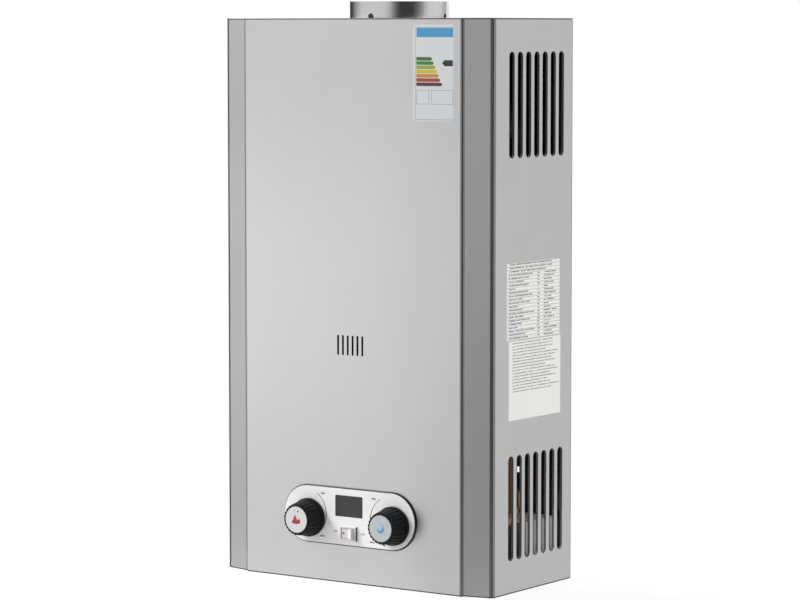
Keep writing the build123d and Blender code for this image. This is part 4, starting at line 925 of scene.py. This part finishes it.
def floor_finish(radius):
    """Pale matte floor that fades towards its border, sooner behind the heater than before it."""
    material, paint = finish_paint("floor_pale")
    x, y, z = paint.place()
    right, back = x / PER_METRE - FLOOR_MIDDLE[0], y / PER_METRE - FLOOR_MIDDLE[1]
    distance = length_of(right, back.most(back * FLOOR_FADE_BEHIND))
    tone = paint.tint(paint.cloud(300.0), grey(0.68), grey(0.71))
    matte = paint.node("ShaderNodeBsdfDiffuse", None, {"Color": tone})
    clear = paint.node("ShaderNodeBsdfTransparent")
    fade = distance.rise(radius * FLOOR_FADE[0], radius * FLOOR_FADE[1])
    edge = paint.node("ShaderNodeMixShader", None, {0: fade, 1: matte, 2: clear})
    paint.node("ShaderNodeOutputMaterial", None, {"Surface": edge})
    return material


def floor_disc(radius, steps_round=96, steps_out=12):
    """Flat round floor: the two parameters are the angle and the distance from its middle, which lies a
    little to the left of the heater."""
    turn = np.linspace(0.0, 2 * np.pi, steps_round, endpoint=False)
    out = np.linspace(0.0, 1.0, steps_out + 1)[1:] * radius
    ring_x = (out[:, None] * np.cos(turn)[None, :]).ravel()
    ring_y = (out[:, None] * np.sin(turn)[None, :]).ravel()
    level = np.full(len(ring_x) + 1, FLOOR_Z)
    points = np.stack([np.append(ring_x, 0.0), np.append(ring_y, 0.0), level], 1)
    points += (*FLOOR_MIDDLE, 0.0)
    faces = []
    for ring in range(steps_out - 1):
        faces += ring_quads(steps_round, ring * steps_round, (ring + 1) * steps_round).tolist()
    here = np.arange(steps_round)
    middle = np.full(steps_round, len(points) - 1)
    faces += np.stack([middle, here, np.roll(here, -1)], 1).tolist()
    mesh = bpy.data.meshes.new("studio_floor")
    mesh.from_pydata(points.tolist(), [], faces)
    mesh.materials.append(floor_finish(radius))
    floor = bpy.data.objects.new("studio_floor", mesh)
    bpy.context.scene.collection.objects.link(floor)


def aim_at(holder, target):
    """Turns a lamp or a camera towards a place."""
    holder.rotation_euler = (Vector(target) - holder.location).to_track_quat("-Z", "Y").to_euler()


def lamp_at(name, power, size, place):
    """A square soft lamp that looks at the middle of the heater."""
    lamp = bpy.data.lights.new(name, "AREA")
    lamp.energy = power
    lamp.size = size
    holder = bpy.data.objects.new(name, lamp)
    holder.location = place
    aim_at(holder, LAMP_AIM)
    bpy.context.scene.collection.objects.link(holder)


def studio_light():
    """Surroundings that are pale at the left front, at the right and behind the heater and dark behind the
    camera, given by level for each angle round the heater, with an even ceiling; and three soft lamps."""
    world = bpy.data.worlds.new("studio")
    world.use_nodes = True
    bpy.context.scene.world = world
    paint = Paint(world.node_tree)
    toward = paint.node("ShaderNodeTexCoord", out="Generated")
    parts = paint.node("ShaderNodeSeparateXYZ", None, {0: toward}).socket.node.outputs
    across, deep, up = (Amount(paint, socket) for socket in parts)
    round_about = across.math("ARCTAN2", across, -deep) * DEGREES
    lift = up.math("ARCSINE", up) * DEGREES
    stops = [((angle + 180.0) / 360.0, grey(level)) for angle, level in WALL_LEVELS]
    walls = paint.node("ShaderNodeValToRGB", {"stops": ("LINEAR", stops)}, {0: (round_about + 180.0) / 360.0})
    sky = paint.tint(lift.rise(*CEILING_START), walls, grey(0.45))
    background = paint.node("ShaderNodeBackground", None, {"Color": sky, "Strength": 1.0})
    paint.node("ShaderNodeOutputWorld", None, {"Surface": background})
    for lamp in LAMPS:
        lamp_at(*lamp)


def photo_camera():
    """Camera to the right of the front and a little above the middle, with a long lens."""
    camera = bpy.data.cameras.new("camera")
    camera.sensor_fit = "HORIZONTAL"
    camera.sensor_width = 36.0
    camera.lens = CAMERA_LENS
    camera.clip_end = 50.0
    holder = bpy.data.objects.new("camera", camera)
    holder.location = CAMERA_PLACE
    aim_at(holder, CAMERA_AIM)
    bpy.context.scene.collection.objects.link(holder)
    bpy.context.scene.camera = holder


photo_camera()
floor_disc(FLOOR_RADIUS)
studio_light()
bpy.context.scene.view_settings.view_transform = "Standard"
